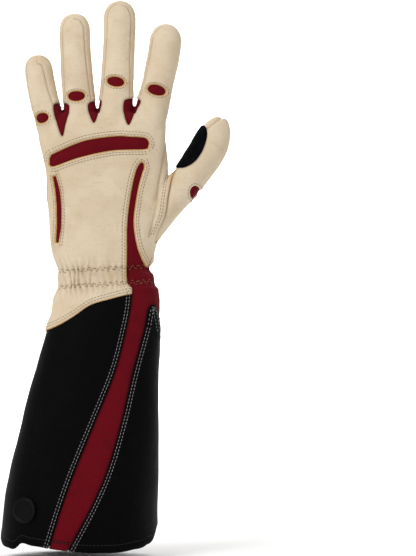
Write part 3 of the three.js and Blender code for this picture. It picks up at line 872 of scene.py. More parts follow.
STRIPE_FAR = {  # the stripes' edges towards the thumb
    Face.BACK: on_cuff(((0.6, -0.215), (0.37, -0.215), (0.352, -0.19), (0.34, -0.15), (0.322, -0.108),
        (0.297, -0.096), (0.27, -0.115), (0.248, -0.18), (0.176, -0.338), (0.106, -0.513),
        (0.019, -0.687), (-0.08, -0.82), (-0.225, -0.98), (-0.28, -1.06))),
    Face.PALM: on_cuff(((0.6, -0.14), (0.355, -0.14), (0.342, -0.152), (0.334, -0.2), (0.32, -0.262),
        (0.295, -0.338), (0.247, -0.513), (0.184, -0.687), (0.11, -0.82), (-0.045, -0.98),
        (-0.12, -1.06))),
}
STRIPE_PAST = ((240.0, -230.0), (240.0, 20.0))  # closes a stripe's edge far beyond the thumb's side
ULNAR_SEAM = on_cuff((
    (-0.27, 0.0), (-0.3, -0.1), (-0.34, -0.22), (-0.382, -0.436), (-0.43, -0.65), (-0.482, -0.87),
    (-0.5, -0.97),
))
ULNAR_END = (-57.0, -230.0)  # below the hem
VENT = (
    (-60.5, -208), (-58.6, -184), (-57.4, -174.5), (-55.9, -172.6), (-54.5, -174.5), (-53.6, -184),
    (-52, -208),
)
HEM_LINE = {
    Face.BACK: on_cuff((
        (-0.9, -0.915), (-0.72, -0.918), (-0.665, -0.93), (-0.642, -0.958), (-0.6, -0.97),
        (-0.552, -0.969), (-0.534, -0.957), (-0.45, -0.958), (-0.29, -0.971), (-0.037, -0.982),
        (0.12, -0.979), (0.17, -0.974), (0.262, -0.961), (0.307, -0.937), (0.3255, -0.9),
        (0.3317, -0.855), (0.6, -0.83),
    )),
    Face.PALM: on_cuff((
        (-0.9, -0.9), (-0.66, -0.908), (-0.614, -0.926), (-0.59, -0.938), (-0.549, -0.942),
        (-0.522, -0.934), (-0.505, -0.93), (-0.478, -0.93), (-0.458, -0.949), (-0.435, -0.976),
        (-0.388, -0.99), (-0.215, -1), (-0.078, -0.993), (0.066, -0.96), (0.176, -0.928),
        (0.285, -0.884), (0.318, -0.868), (0.3317, -0.855), (0.6, -0.83),
    )),
}

# Seams in the leather that don't part two pieces, in millimetres.
EXTRA_SEAMS = {
    Face.BACK: (
        ((44.5, 106), (43.5, 98), (42.3, 90.7), (40.2, 78), (38.2, 66), (36.3, 53), (34.0, 41), (31.5, 30)),
        ((85, 117.6), (78, 112.2), (71.3, 107.3), (67, 104)),
    ),
    Face.PALM: (((67, 61), (75, 74), (81, 88), (84, 104)),),
}
# Rows of stitches that follow no seam, in millimetres.
SLOT_SIDE_ROW = on_hand(((-0.383, 0.385), (-0.35, 0.33), (-0.336, 0.265), (-0.336, 0.19), (-0.352, 0.12)))
HEEL_ROW = ((-39.5, 30), (-33.8, 8), (-33.0, -10), (-34.8, -43))
INDEX_ROW = ((40.7, 109), (35.5, 108.6), (32.6, 104), (31.0, 99))
PAD_ROW = 3.1  # how far inside the palm pad's edge its own row lies
PAD_BANDS = (
    ((20.5, 88.2), (7.6, 87), (-3.2, 85.2), (-14, 80.3), (-28.4, 73.1), (-40.5, 68.4)),
    ((14, 79.5), (3.1, 77.2), (-10.4, 74), (-24.8, 68.6), (-40.5, 61.8)),
)
FINGER_ROWS = {  # heights of the rows across the fingers' fronts
    "index": (155.5, 148.8, 129.2, 121.5), "middle": (165.5, 159.5, 131.5, 123.8),
    "ring": (155.6, 149.2, 126.4, 119.2), "little": (137, 131, 116, 108.6),
}
THUMB_ROWS = (0.62, 0.74)  # shares of the thumb's length


# The glove's faces and their relief

SMOOTHING = (0.6, -0.61)  # shares of the way to the neighbours' middle, in turn


def voxelised(solids: Sequence[tuple[np.ndarray, np.ndarray]], cell: float, passes: int) -> Skin:
    """Joins closed forms into one even skin.

    Args:
        solids: Points and triangles of each form.
        cell: Size of the skin's cells.
        passes: How often it is smoothed.

    Returns:
        The skin.
    """
    points = np.vstack([p for p, _ in solids])
    start = np.cumsum([0] + [len(p) for p, _ in solids])
    faces = np.vstack([f + k for (_, f), k in zip(solids, start)])
    mesh = bpy.data.meshes.new("form")
    mesh.from_pydata(points.tolist(), [], faces.tolist())
    form = bpy.data.objects.new("form", mesh)
    bpy.context.scene.collection.objects.link(form)
    remesh = form.modifiers.new("skin", "REMESH")
    remesh.mode = "VOXEL"
    remesh.voxel_size = cell
    result = form.evaluated_get(bpy.context.evaluated_depsgraph_get()).to_mesh()
    result.calc_loop_triangles()
    places = np.empty(len(result.vertices) * 3)
    result.vertices.foreach_get("co", places)
    corners = np.empty(len(result.loop_triangles) * 3, np.int32)
    result.loop_triangles.foreach_get("vertices", corners)
    bpy.data.objects.remove(form)
    bpy.data.meshes.remove(mesh)
    skin = Skin(places.reshape(-1, 3), corners.reshape(-1, 3).astype(np.int64))
    edges = np.unique(np.sort(skin.edges(), 1), axis=0)
    both = np.vstack([edges, edges[:, ::-1]])
    count = np.bincount(both[:, 0], minlength=len(skin.points))[:, None]
    for step in range(2 * passes):
        near = skin.points[both[:, 1]]
        total = np.column_stack([np.bincount(both[:, 0], near[:, k], len(count)) for k in range(3)])
        skin.points += SMOOTHING[step % 2] * (total / count - skin.points)
    return skin


def skirt_height(face: Face, x: np.ndarray) -> np.ndarray:
    """The lower edge of the wrist's leather.

    Args:
        face: Which face of the glove.
        x: Places across.

    Returns:
        Its height at each place.
    """
    line = np.array(SKIRT[face]) * (PALM_WIDTH, CUFF_LENGTH)
    return hermite(line[:, 0], line[:, 1], x)


def hem_height(face: Face, x: np.ndarray) -> np.ndarray:
    """The hem of the forearm.

    Args:
        face: Which face of the glove.
        x: Places across.

    Returns:
        Its height at each place.
    """
    line = np.array(HEM_LINE[face])
    return hermite(line[:, 0], line[:, 1], x)


def stripe_edge(table: dict[Face, Pairs], face: Face) -> Outline:
    """Everything from a stripe's edge to far beyond the thumb.

    Args:
        table: The edge on each face.
        face: Which face of the glove.

    Returns:
        Its outline.
    """
    return Outline(np.vstack([spline(table[face], 2.0), STRIPE_PAST]))


def joined(skins: Sequence[Skin]) -> Skin:
    """Joins skins and welds the points that they share.

    Args:
        skins: The skins, all with the same named values.

    Returns:
        One skin.
    """
    points = np.vstack([s.points for s in skins])
    start = np.cumsum([0] + [len(s.points) for s in skins])
    faces = np.vstack([s.faces + k for s, k in zip(skins, start)])
    _, first, place = np.unique(np.round(points, 3), axis=0, return_index=True, return_inverse=True)
    faces = place.reshape(-1)[faces]
    values = {k: np.concatenate([s.values[k] for s in skins])[first] for k in skins[0].values}
    good = (faces[:, 0] != faces[:, 1]) & (faces[:, 1] != faces[:, 2]) & (faces[:, 0] != faces[:, 2])
    return Skin(points[first], faces[good], values)


def surfaces(ground: dict[Face, list[Skin]]) -> dict[Face, BVHTree]:
    """What stitches are laid on.

    Args:
        ground: The skins on each face of the glove.

    Returns:
        A search tree for each face.
    """
    trees = {}
    for face in Face:
        skin = joined([Skin(s.points, s.faces) for s in ground[face]])
        trees[face] = BVHTree.FromPolygons(skin.points.tolist(), skin.faces.tolist())
    return trees


def rolled(inwards: np.ndarray) -> np.ndarray:
    """The height of leather near an edge that is turned under.

    Args:
        inwards: Distance from the edge into the leather.

    Returns:
        The height that the roll adds.
    """
    d = np.maximum(inwards, 0.0)
    return -0.75 * bell(d, 0.75) + 0.32 * bell(d - 1.7, 1.2)


def seam(distance: np.ndarray, depth: float = 0.75) -> np.ndarray:
    """The height of leather near a seam.

    Args:
        distance: Distance from the seam.
        depth: How deep it lies.

    Returns:
        The height that the seam adds.
    """
    return -depth * bell(distance, 0.65) + 0.35 * depth * bell(distance - 1.9, 1.2)


@dataclass(frozen=True)
class HandShape:
    """The hand's skin, with the places of its openings and seams as values on it.

    Attributes:
        cell: Size of its cells.
        passes: How often it is smoothed.
        bottom: The lowest point of the leather that it has to cover.
        levels: Sections of the tube that it is made from.
        sides: Points in each of them.
    """

    cell: float = 0.62
    passes: int = 4
    bottom: float = -62.0
    levels: int = 110
    sides: int = 120

    def whole(self) -> Skin:
        """The closed skin of hand, thumb and fingers.

        Returns:
            The skin, flat about y = 0, with its normals as values.
        """
        cell = self.cell
        heights = np.linspace(self.bottom, HAND_ROWS[0][0] * HAND_LENGTH, self.levels)
        tube = loft([TUBE.ring(z, self.sides) for z in heights])
        skin = voxelised([tube, *(loft(digit.rings()) for digit in DIGITS)], cell, self.passes)
        skin.carry(skin.normals())
        return skin

    def border(self, x: np.ndarray, z: np.ndarray) -> np.ndarray:
        """Where the back of the glove meets its front.

        Args:
            x: Places across.
            z: Places up.

        Returns:
            The border's place through the glove.
        """
        little = -4.2 * smoothstep(-x, 38, 44) * smoothstep(z, 96, 112)
        ulnar = 6.0 * smoothstep(-x, 20, 32) * smoothstep(z, -12, 30) * (1 - smoothstep(z, 84, 98))
        index = 4.4 * smoothstep(x, 34, 42) * smoothstep(z, 92, 110)
        wrist = 9.0 * smoothstep(x, 24, 31) * (1 - smoothstep(z, 9, 15))
        return little + ulnar + index + wrist

    def faces(self) -> dict[Face, Skin]:
        """The back and the front, each with its fields.

        Returns:
            The two skins.
        """
        whole = self.whole()
        side = whole.points[:, 1] - self.border(whole.points[:, 0], whole.points[:, 2])
        result = {}
        for face in Face:
            skin = whole.clipped(side * face.value)
            self.measure(skin, face)
            result[face] = skin
        return result

    def measure(self, skin: Skin, face: Face) -> None:
        """Writes the distances to openings and seams on a face of the glove.

        Args:
            skin: The face's skin.
            face: Which face it is.
        """
        v = skin.values
        flat = skin.points[:, [0, 2]]
        x, _, z = skin.points.T
        back = face is Face.BACK
        leaves = [Outline.smooth(on_hand(leaf), 0.7).inside(flat) for leaf in GUSSETS.values()]
        v["gusset"] = np.max(leaves, axis=0) if back else palm_webs(flat)
        windows = [outline.inside(flat) for outline in window_outlines()]
        nothing = np.full(len(flat), -OUTSIDE)
        v["window"] = np.max(windows, axis=0) + TURNED if back else nothing
        v["band"] = KNUCKLE_BAND.inside(flat) + TURNED if back else nothing
        v["radial"] = RADIAL_SLOT.inside(flat, reach=30.0) + TURNED if back else nothing
        v["slot"] = LITTLE_SLOT.inside(flat) + TURNED if back else nothing
        v["pad"] = (THUMB_PAD if back else PALM_PAD).inside(flat)
        line = spline(THUMB_SEAM_BACK if back else THUMB_SEAM_PALM, 0.8)
        v["thumb"] = Outline(np.vstack([line, THUMB_FAR])).inside(flat, reach=30.0)
        v["skirt"] = z - skirt_height(face, x)
        v["strip"] = self.strips(skin.points)
        opening = ("window", "band", "radial", "slot", "gusset")
        v["opening"] = np.max([v[name] for name in opening], axis=0)

    @staticmethod
    def strips(points: np.ndarray) -> np.ndarray:
        """Signed distance into the side strips of the fingers.

        Args:
            points: Places, n by 3.

        Returns:
            One distance for each place, positive in a strip.
        """
        x, y, z = points.T
        flat = points[:, [0, 2]]
        reach = {}
        for digit in DIGITS:
            reach[digit.name] = line_distance(flat, digit.centre()[::3]) - digit.wide
        result = np.full(len(points), -OUTSIDE)
        for name, side, back, palm, low in SIDE_STRIPS:
            digit = BY_NAME[name]
            line = digit.centre()
            axis = np.interp(z, line[:, 1], line[:, 0])
            others = np.min([r for other, r in reach.items() if other != name], axis=0)
            across = (side * (x - axis), others - reach[name])
            through = (y + back * digit.deep, palm * digit.deep - y)
            result = np.maximum(result, np.min([*across, *through, z - low], axis=0))
        return result


MOUNDS = (  # across, up, half width, half height and height of the thumb's ball, the heel and the hollow
    (26, 58, 18, 30, 2.2),
    (-30, 48, 14, 30, 1.2),
    (-4, 52, 13, 26, -1.2),
)


@dataclass(frozen=True)
class Relief:
    """What the leather of the hand does between its seams.

    Attributes:
        pleat: Height of the wrist's pleats.
        pitch: Distance between them.
        rows: Heights of the two elastic rows.
        tilt: How much they rise towards the thumb.
        seed: Picks the wrinkles.
        half: Half width and half depth of the wrist.
        shift: How far its middle lies towards the little finger.
        waist: Height of its narrowest place.
        unrolled: Half width and half depth of the ring that its irregularities are read on.
    """

    pleat: float = 2.0
    pitch: float = 4.4
    rows: tuple[float, float] = (6.6, -4.4)
    tilt: float = 0.06
    seed: int = 4
    half: tuple[float, float] = (34.2, 21.0)
    shift: float = 0.7
    waist: float = 1.4
    unrolled: tuple[float, float] = (34, 21)

    def pleats(self, points: np.ndarray) -> np.ndarray:
        """The gathered wrist.

        Args:
            points: Places, n by 3.

        Returns:
            The height that the pleats add.
        """
        x, y, z = points.T
        z = z - self.tilt * x
        wide, deep = self.half
        turn = np.arctan2(y / deep, (x + self.shift) / wide)
        rim = np.linspace(-np.pi, np.pi, 400)
        step = np.hypot(wide * np.sin(rim), deep * np.cos(rim))
        along = np.concatenate([[0.0], np.cumsum((step[1:] + step[:-1]) / 2 * np.diff(rim))])
        u = np.interp(turn, rim, along) / self.pitch
        around = np.column_stack([np.cos(turn) * self.unrolled[0], np.sin(turn) * self.unrolled[1], z])
        ulnar = smoothstep(-x, -4, 26)
        slant = 0.3 * ulnar * (z - self.waist) / self.pitch
        u = u + slant + 0.7 * noise(around, (9, 9, 12), self.seed)
        u = u + 0.3 * noise(around, (4, 4, 6), self.seed + 9, 1)
        ridge = np.abs(np.sin(np.pi * u)) ** 0.8
        strength = (0.56 + 0.34 * ulnar) * (1.0 + 0.5 * noise(around, (8, 8, 6), self.seed + 1, 1))
        near = np.maximum(bell(z - self.rows[0], 5.0), bell(z - self.rows[1], 5.0))
        fade = 0.75 * near + (0.2 + 0.35 * ulnar) * bell(z - self.waist, 16)
        pulled = sum(bell(z - row, 1.4) for row in self.rows)
        return fade * strength * self.pleat * (ridge - 0.72) - 0.4 * pulled - 0.9 * bell(z - self.waist, 9)

    def creases(self, points: np.ndarray) -> np.ndarray:
        """Creases across the fingers' joints and soft hollows elsewhere.

        Args:
            points: Places, n by 3.

        Returns:
            The height that they add.
        """
        z = points[:, 2]
        wander = noise(points, (14, 14, 9), self.seed + 2)
        folds = noise(points + 90, (26, 22, 7), self.seed + 3)
        long = noise(points, (7, 30, 34), self.seed + 5)
        soft = noise(points, 26, self.seed + 4, 2)
        fine = noise(points, (6.5, 6.5, 4.5), self.seed + 6, 2)
        sharp = -0.42 * bell(folds, 0.075) * smoothstep(wander, -0.1, 0.45) * smoothstep(z, 95, 125)
        drawn = -0.35 * bell(long, 0.08) * smoothstep(wander, 0.0, 0.5) * (1 - smoothstep(z, 40, 80))
        return 0.75 * soft + 0.16 * fine + sharp + drawn

    def ball(self, points: np.ndarray) -> np.ndarray:
        """The swelling of the thumb's ball and of the palm's heel.

        Args:
            points: Places, n by 3.

        Returns:
            The height that they add.
        """
        x, y, z = points.T
        mounds = [
            height * np.exp(-(((x - across) / wide) ** 2) - (((z - up) / tall) ** 2))
            for across, up, wide, tall, height in MOUNDS
        ]
        return smoothstep(y, 0, 8) * sum(mounds)

    def base(self, points: np.ndarray) -> np.ndarray:
        """Everything that leather and what lies under it share.

        Args:
            points: Places, n by 3.

        Returns:
            The height added.
        """
        return self.pleats(points) + self.creases(points) + self.ball(points)


RELIEF = Relief()


def lifted(skin: Skin, height: np.ndarray) -> Skin:
    """The skin moved along the normals of the whole glove.

    Args:
        skin: A skin that carries those normals as values.
        height: How far each point moves.

    Returns:
        A new skin.
    """
    normals = np.column_stack([skin.values["n" + axis] for axis in "xyz"])
    return Skin(skin.points + normals * np.asarray(height)[:, None], skin.faces, dict(skin.values))


@dataclass(frozen=True)
class CuffShape:
    """The forearm's skin.

    Attributes:
        step: Size of its cells.
        top: Its upper end.
        bottom: Its lower end.
        seed: Picks its folds.
        half_girth: Half its length around.
        blend: Depth over which the hem's two heights meet, on the thumb's side and on the other.
        overlap: How far it reaches up under the wrist's leather.
    """

    step: float = 1.1
    top: float = 3.0
    bottom: float = -205.0
    seed: int = 11
    half_girth: float = 166.0
    blend: tuple[float, float] = (14.0, 7.0)
    overlap: float = 6.0

    def faces(self) -> dict[Face, Skin]:
        """The back and the front, each with its fields.

        Returns:
            The two skins.
        """
        step = self.step
        sides = int(self.half_girth / step) * 2
        heights = np.arange(self.bottom, self.top, step)
        points = np.vstack([TUBE.ring(z, sides, -TUCK) for z in heights])
        row = np.arange(len(heights) - 1)[:, None] * sides
        result = {}
        for face in Face:
            columns = np.arange(sides // 2) + (0 if face is Face.PALM else sides // 2)
            after = (columns + 1) % sides
            a, b = (row + columns).ravel(), (row + after).ravel()
            c, d = (row + sides + after).ravel(), (row + sides + columns).ravel()
            result[face] = np.vstack([np.column_stack([a, b, c]), np.column_stack([a, c, d])])
        whole = Skin(points, np.vstack(list(result.values())))
        normals = whole.normals()
        for face, triangles in result.items():
            used, faces = np.unique(triangles, return_inverse=True)
            skin = Skin(points[used], faces.reshape(-1, 3))
            skin.carry(normals[used])
            self.measure(skin, face)
            result[face] = skin
        return result

    def measure(self, skin: Skin, face: Face) -> None:
        """Writes the distances to the stripes, seams and hem.

        Args:
            skin: The face's skin.
            face: Which face it is.
        """
        x, y, z = skin.points.T
        v = skin.values
        flat = skin.points[:, [0, 2]]
        palm = face is Face.PALM
        v["near"] = stripe_edge(STRIPE_NEAR, face).inside(flat, reach=40.0)
        v["far"] = stripe_edge(STRIPE_FAR, face).inside(flat, reach=40.0)
        front = Outline(np.vstack([spline(ULNAR_SEAM, 2.0), [ULNAR_END], STRIPE_PAST]))
        v["front"] = front.inside(flat, reach=60.0) if palm else np.full(len(x), -OUTSIDE)
        own, other = hem_height(face, x), hem_height(face.other, x)
        near = np.abs(y) / np.where(x > 0, *self.blend)
        share = 0.5 * (1 - smoothstep(near, 0, 1))  # the faces meet at one height
        v["hem"] = z - own - share * (other - own)
        vent = Outline.smooth(np.array(VENT))
        v["vent"] = -vent.inside(flat) if palm else np.full(len(x), OUTSIDE)
        v["skirt"] = skirt_height(face, x) + self.overlap - z

    def folds(self, points: np.ndarray) -> np.ndarray:
        """The soft folds of the forearm.

        Args:
            points: Places, n by 3.

        Returns:
            The height that they add.
        """
        z = points[:, 2]
        long = noise(points, (30, 40, 95), self.seed, 2)
        cross = noise(points, (60, 60, 26), self.seed + 1, 2)
        fine = noise(points, (9, 9, 14), self.seed + 2, 2)
        flare = smoothstep(-z, 30, 170)
        return (0.5 + 1.5 * flare) * long + 0.55 * cross + 0.1 * fine


# Finishes

Colour = tuple[float, float, float]


def linear(colour: Colour) -> tuple[float, float, float, float]:
    """A colour as the shaders take it.

    Args:
        colour: Red, green and blue from 0 to 255, as on a screen.

    Returns:
        Linear red, green, blue and 1.
    """
    share = [c / 255 for c in colour]
    return (*(c / 12.92 if c <= 0.04045 else ((c + 0.055) / 1.055) ** 2.4 for c in share), 1.0)


class Value:
    """A socket that can be calculated with.

    Attributes:
        nodes: The tree's node maker.
        socket: The socket itself.
    """

    def __init__(self, nodes: "Nodes", socket: Any) -> None:
        """Wraps a socket.

        Args:
            nodes: The tree's node maker.
            socket: An output socket.
        """
        self.nodes = nodes
        self.socket = socket

    def math(self, operation: str, other: "Value | float") -> "Value":
        """A Math node on this value and another.

        Args:
            operation: The node's operation.
            other: Its second input.

        Returns:
            The result.
        """
        return self.nodes.add("ShaderNodeMath", {0: self, 1: other}, operation=operation)

    def __add__(self, other: "Value | float") -> "Value":
        """Adds.

        Args:
            other: What is added.

        Returns:
            The sum.
        """
        return self.math("ADD", other)

    def __mul__(self, other: "Value | float") -> "Value":
        """Multiplies.

        Args:
            other: The factor.

        Returns:
            The product.
        """
        return self.math("MULTIPLY", other)

    __radd__ = __add__
    __rmul__ = __mul__

    def between(self, low: float, high: float) -> "Value":
        """Eases from 0 at low to 1 at high.

        Args:
            low: Where the ease starts.
            high: Where it ends.

        Returns:
            The eased value.
        """
        inputs = {"Value": self, "From Min": low, "From Max": high}
        return self.nodes.add("ShaderNodeMapRange", inputs, interpolation_type="SMOOTHSTEP")


class Nodes:
    """Makes the nodes of one tree.

    Attributes:
        tree: The node tree.
        places: The piece's own places, once they are asked for.
    """

    def __init__(self, tree: Any) -> None:
        """Starts on a tree.

        Args:
            tree: The node tree.
        """
        self.tree = tree
        self.places: Value | None = None

    def add(self, kind: str, inputs: dict[int | str, Any], output: int | str = 0, **settings: Any) -> Value:
        """Adds one node.

        Args:
            kind: The node's type.
            inputs: Values or links by socket.
            output: The socket to return.
            settings: The node's own settings.

        Returns:
            The chosen output.
        """
        node = self.tree.nodes.new(kind)
        for name, setting in settings.items():
            setattr(node, name, setting)
        for key, value in inputs.items():
            if isinstance(value, Value):
                self.tree.links.new(value.socket, node.inputs[key])
            else:
                node.inputs[key].default_value = value
        return Value(self, node.outputs[output])

    def stretched(self, scale: tuple[float, float, float]) -> Value:
        """The piece's own places in millimetres, stretched.

        Args:
            scale: Factor along each axis.

        Returns:
            The places.
        """
        if self.places is None:
            self.places = self.add("ShaderNodeTexCoord", {}, "Object")
        factor = tuple(1000.0 * s for s in scale)
        return self.add("ShaderNodeVectorMath", {0: self.places, 1: factor}, operation="MULTIPLY")

    def noise(
        self, size: float, detail: float, scale: tuple[float, float, float] = (1, 1, 1), twist: float = 0.0
    ) -> Value:
        """Noise from 0 to 1.

        Args:
            size: Size of its features in millimetres.
            detail: How many finer layers it has.
            scale: Stretch along each axis.
            twist: Distortion.

        Returns:
            The noise.
        """
        inputs = {"Vector": self.stretched(scale), "Scale": 1.0 / size}
        return self.add("ShaderNodeTexNoise", {**inputs, "Detail": detail, "Distortion": twist})

    def cells(self, size: float) -> Value:
        """Distances to the nearest middle in a pattern of cells.

        Args:
            size: Size of a cell in millimetres.

        Returns:
            The distance.
        """
        return self.add("ShaderNodeTexVoronoi", {"Vector": self.stretched((1, 1, 1)), "Scale": 1.0 / size})

    def mark(self, name: str) -> Value:
        """A value that the piece carries on its points.

        Args:
            name: The value's name.

        Returns:
            The value.
        """
        return self.add("ShaderNodeAttribute", {}, "Fac", attribute_name=name)

    def blend(self, share: Value | float, a: Value | Colour, b: Value | Colour) -> Value:
        """Mixes two colours.

        Args:
            share: How much of the second one.
            a: The first colour.
            b: The second colour.

        Returns:
            The mixed colour.
        """
        ends = {key: end if isinstance(end, Value) else linear(end) for key, end in ((6, a), (7, b))}
        return self.add("ShaderNodeMix", {0: share, **ends}, 2, data_type="RGBA")

    def height(self, value: Value, depth: float) -> Value:
        """A bump.

        Args:
            value: The height, from 0 to 1.
            depth: How far 1 stands out, in millimetres.

        Returns:
            The normal.
        """
        return self.add("ShaderNodeBump", {"Height": value, "Strength": 1.0, "Distance": depth * MM})


@dataclass(frozen=True)
class Finish:
    """What every finish has.

    Attributes:
        name: The material's name.
        slot: The record's material slot; not used.
    """

    name: str
    slot: str

    def shade(self, n: Nodes) -> dict[str, Value | float]:
        """Makes the finish's nodes.

        Args:
            n: The material's node maker.

        Returns:
            What goes into the shader's sockets.
        """
        raise NotImplementedError

    def material(self) -> Any:
        """The material, made once.

        Returns:
            The material.
        """
        if self.name in bpy.data.materials:
            return bpy.data.materials[self.name]
        material = bpy.data.materials.new(self.name)
        material.use_nodes = True
        shader = material.node_tree.nodes["Principled BSDF"]
        for socket, value in self.shade(Nodes(material.node_tree)).items():
            if isinstance(value, Value):
                material.node_tree.links.new(value.socket, shader.inputs[socket])
            else:
                shader.inputs[socket].default_value = value
        return material


@dataclass(frozen=True)
class CreamLeather(Finish):
    """Soft grain leather with a raw golden edge, and painted shade that darkens its seams, creases and pleat
    hollows.

    Attributes:
        pale: Its colour where it is clean.
        warm: Its colour in patches.
        dark: Its darker tone at random, and the painted shade in seams, creases and pleat hollows.
        raw: The cut edge's colour.
    """

    pale: Colour = (221, 204, 178)
    warm: Colour = (212, 192, 163)
    dark: Colour = (146, 116, 82)
    raw: Colour = (192, 150, 94)

    def shade(self, n: Nodes) -> dict[str, Value | float]:
        """Makes the leather's nodes.

        Args:
            n: The material's node maker.

        Returns:
            What goes into the shader's sockets.
        """
        patches = n.noise(24.0, 3.0, twist=0.6)
        streaks = n.noise(3.2, 4.0, (1.0, 1.0, 0.55))
        grain = n.cells(0.95)
        pores = n.noise(0.42, 3.0)
        colour = n.blend(patches.between(0.34, 0.68), self.pale, self.warm)
        colour = n.blend(streaks.between(0.52, 0.8) * 0.09, colour, self.dark)
        colour = n.blend(grain.between(0.1, 0.5) * 0.07, colour, self.dark)
        lines = n.noise(1.6, 3.0, (0.16, 1.0, 1.0), 0.4)
        colour = n.blend(lines.between(0.56, 0.74) * 0.12, colour, self.dark)
        # painted shade: the seam mark darkens the leather in seam grooves, creases and pleat hollows
        colour = n.blend(n.mark("seam") * (0.35 + 0.4 * streaks), colour, self.dark)
        colour = n.blend(n.mark("edge").between(0.15, 0.7), colour, self.raw)
        folds = n.noise(2.6, 4.0, (1.0, 1.0, 0.7), 0.8)
        height = 0.45 * grain.between(0.0, 0.75) + 0.2 * pores + 0.6 * folds + 1.0 * lines
        return {
            "Base Color": colour,
            "Roughness": 0.56 + 0.16 * patches + 0.06 * pores,
            "Normal": n.height(height, 0.2),
            "Specular IOR Level": 0.14,
        }


@dataclass(frozen=True)
class RedStretch(Finish):
    """Stretch cloth with a fine twill.

    Attributes:
        bright: Its colour on the ribs.
        deep: Its colour between them.
        shade_colour: Its colour in the painted shade along its sunk edges and grooves, and in patches.
    """

    bright: Colour = (128, 14, 30)
    deep: Colour = (74, 5, 13)
    shade_colour: Colour = (40, 5, 9)

    def shade(self, n: Nodes) -> dict[str, Value | float]:
        """Makes the cloth's nodes.

        Args:
            n: The material's node maker.

        Returns:
            What goes into the shader's sockets.
        """
        rib = n.add(
            "ShaderNodeTexWave",
            {"Vector": n.stretched((1.0, 0.5, 0.35)), "Scale": 0.42, "Distortion": 0.9, "Detail": 1.0},
            "Fac",
            bands_direction="DIAGONAL",
        )
        fuzz = n.noise(0.5, 3.0)
        cloud = n.noise(14.0, 2.0)
        colour = n.blend(0.45 * rib + 0.4 * fuzz, self.deep, self.bright)
        # painted shade from the seam mark along sunk edges and grooves, with darker patches at random
        colour = n.blend(n.mark("seam") * 0.75 + cloud.between(0.45, 0.8) * 0.25, colour, self.shade_colour)
        return {
            "Base Color": colour,
            "Roughness": 0.78 + 0.12 * fuzz,
            "Normal": n.height(0.7 * rib + 0.4 * fuzz, 0.22),
            "Specular IOR Level": 0.05,
            "Sheen Weight": 0.03,
            "Sheen Roughness": 0.5,
        }


@dataclass(frozen=True)
class BlackLeather(Finish):
    """Supple black leather with a fine grain and a soft sheen.

    Attributes:
        colour: Its colour.
        worn: Its colour where it is rubbed.
        gloss: Its roughness.
    """

    colour: Colour = (2, 2, 3)
    worn: Colour = (9, 10, 12)
    gloss: float = 0.5

    def shade(self, n: Nodes) -> dict[str, Value | float]:
        """Makes the leather's nodes.

        Args:
            n: The material's node maker.

        Returns:
            What goes into the shader's sockets.
        """
        grain = n.cells(0.9)
        pores = n.noise(0.4, 3.0)
        folds = n.noise(4.5, 4.0, (1.0, 1.0, 0.6), 1.0)
        cloud = n.noise(30.0, 3.0)
        worn = cloud.between(0.5, 0.8) * 0.35 + grain.between(0.3, 0.0) * 0.25 + n.mark("edge") * 0.5
        colour = n.blend(worn, self.colour, self.worn)
        return {
            "Base Color": colour,
            "Roughness": self.gloss + 0.14 * cloud + 0.1 * pores,
            "Normal": n.height(0.5 * grain.between(0.0, 0.75) + 0.2 * pores + 0.8 * folds, 0.2),
            "Specular IOR Level": 0.05,
        }


@dataclass(frozen=True)
class Suede(Finish):
    """Napped black leather.

    Attributes:
        colour: Its colour.
        nap: Its colour where the nap stands up.
    """

    colour: Colour = (3, 4, 5)
    nap: Colour = (14, 15, 18)

    def shade(self, n: Nodes) -> dict[str, Value | float]:
        """Makes the nap's nodes.

        Args:
            n: The material's node maker.

        Returns:
            What goes into the shader's sockets.
        """
        fuzz = n.noise(0.35, 4.0)
        brushed = n.noise(5.0, 4.0, (1.0, 1.0, 0.4), 1.2)
        colour = n.blend(0.35 * fuzz + 0.6 * brushed.between(0.4, 0.75), self.colour, self.nap)
        return {
            "Base Color": colour,
            "Roughness": 0.84 + 0.1 * fuzz,
            "Normal": n.height(0.5 * fuzz + 0.5 * brushed, 0.06),
            "Specular IOR Level": 0.03,
            "Sheen Weight": 0.01,
            "Sheen Roughness": 0.4,
        }


@dataclass(frozen=True)
class Rubber(Finish):
    """Glossy moulded rubber.

    Attributes:
        colour: Its colour.
        dusty: Its colour where dust lies.
    """

    colour: Colour = (2, 2, 2)
    dusty: Colour = (14, 14, 15)

    def shade(self, n: Nodes) -> dict[str, Value | float]:
        """Makes the rubber's nodes.

        Args:
            n: The material's node maker.

        Returns:
            What goes into the shader's sockets.
        """
        dust = n.noise(0.8, 4.0)
        wave = n.noise(7.0, 2.0)
        return {
            "Base Color": n.blend(dust.between(0.55, 0.85) * 0.4, self.colour, self.dusty),
            "Roughness": 0.34 + 0.2 * dust,
            "Normal": n.height(0.5 * wave + 0.3 * dust, 0.08),
            "Specular IOR Level": 0.1,
        }


@dataclass(frozen=True)
class Thread(Finish):
    """Twisted sewing thread.

    Attributes:
        colour: Its colour.
        shadow: Its colour between the plies.
    """

    colour: Colour = (152, 124, 88)
    shadow: Colour = (98, 74, 48)

    def shade(self, n: Nodes) -> dict[str, Value | float]:
        """Makes the thread's nodes.

        Args:
            n: The material's node maker.

        Returns:
            What goes into the shader's sockets.
        """
        ply = n.noise(0.25, 2.0)
        colour = n.blend(ply.between(0.35, 0.7), self.shadow, self.colour)
        return {"Base Color": colour, "Roughness": 0.6 + 0.2 * ply, "Normal": n.height(ply, 0.06)}


@dataclass(frozen=True)
class Backdrop(Finish):
    """Matt pale paper.

    Attributes:
        colour: Its colour.
        grey: Its colour in its tooth.
    """

    colour: Colour = (244, 244, 243)
    grey: Colour = (236, 236, 236)

    def shade(self, n: Nodes) -> dict[str, Value | float]:
        """Makes the paper's nodes.

        Args:
            n: The material's node maker.

        Returns:
            What goes into the shader's sockets.
        """
        tooth = n.noise(3.0, 2.0)
        return {
            "Base Color": n.blend(tooth * 0.15, self.colour, self.grey),
            "Roughness": 0.9 + 0.05 * tooth,
        }


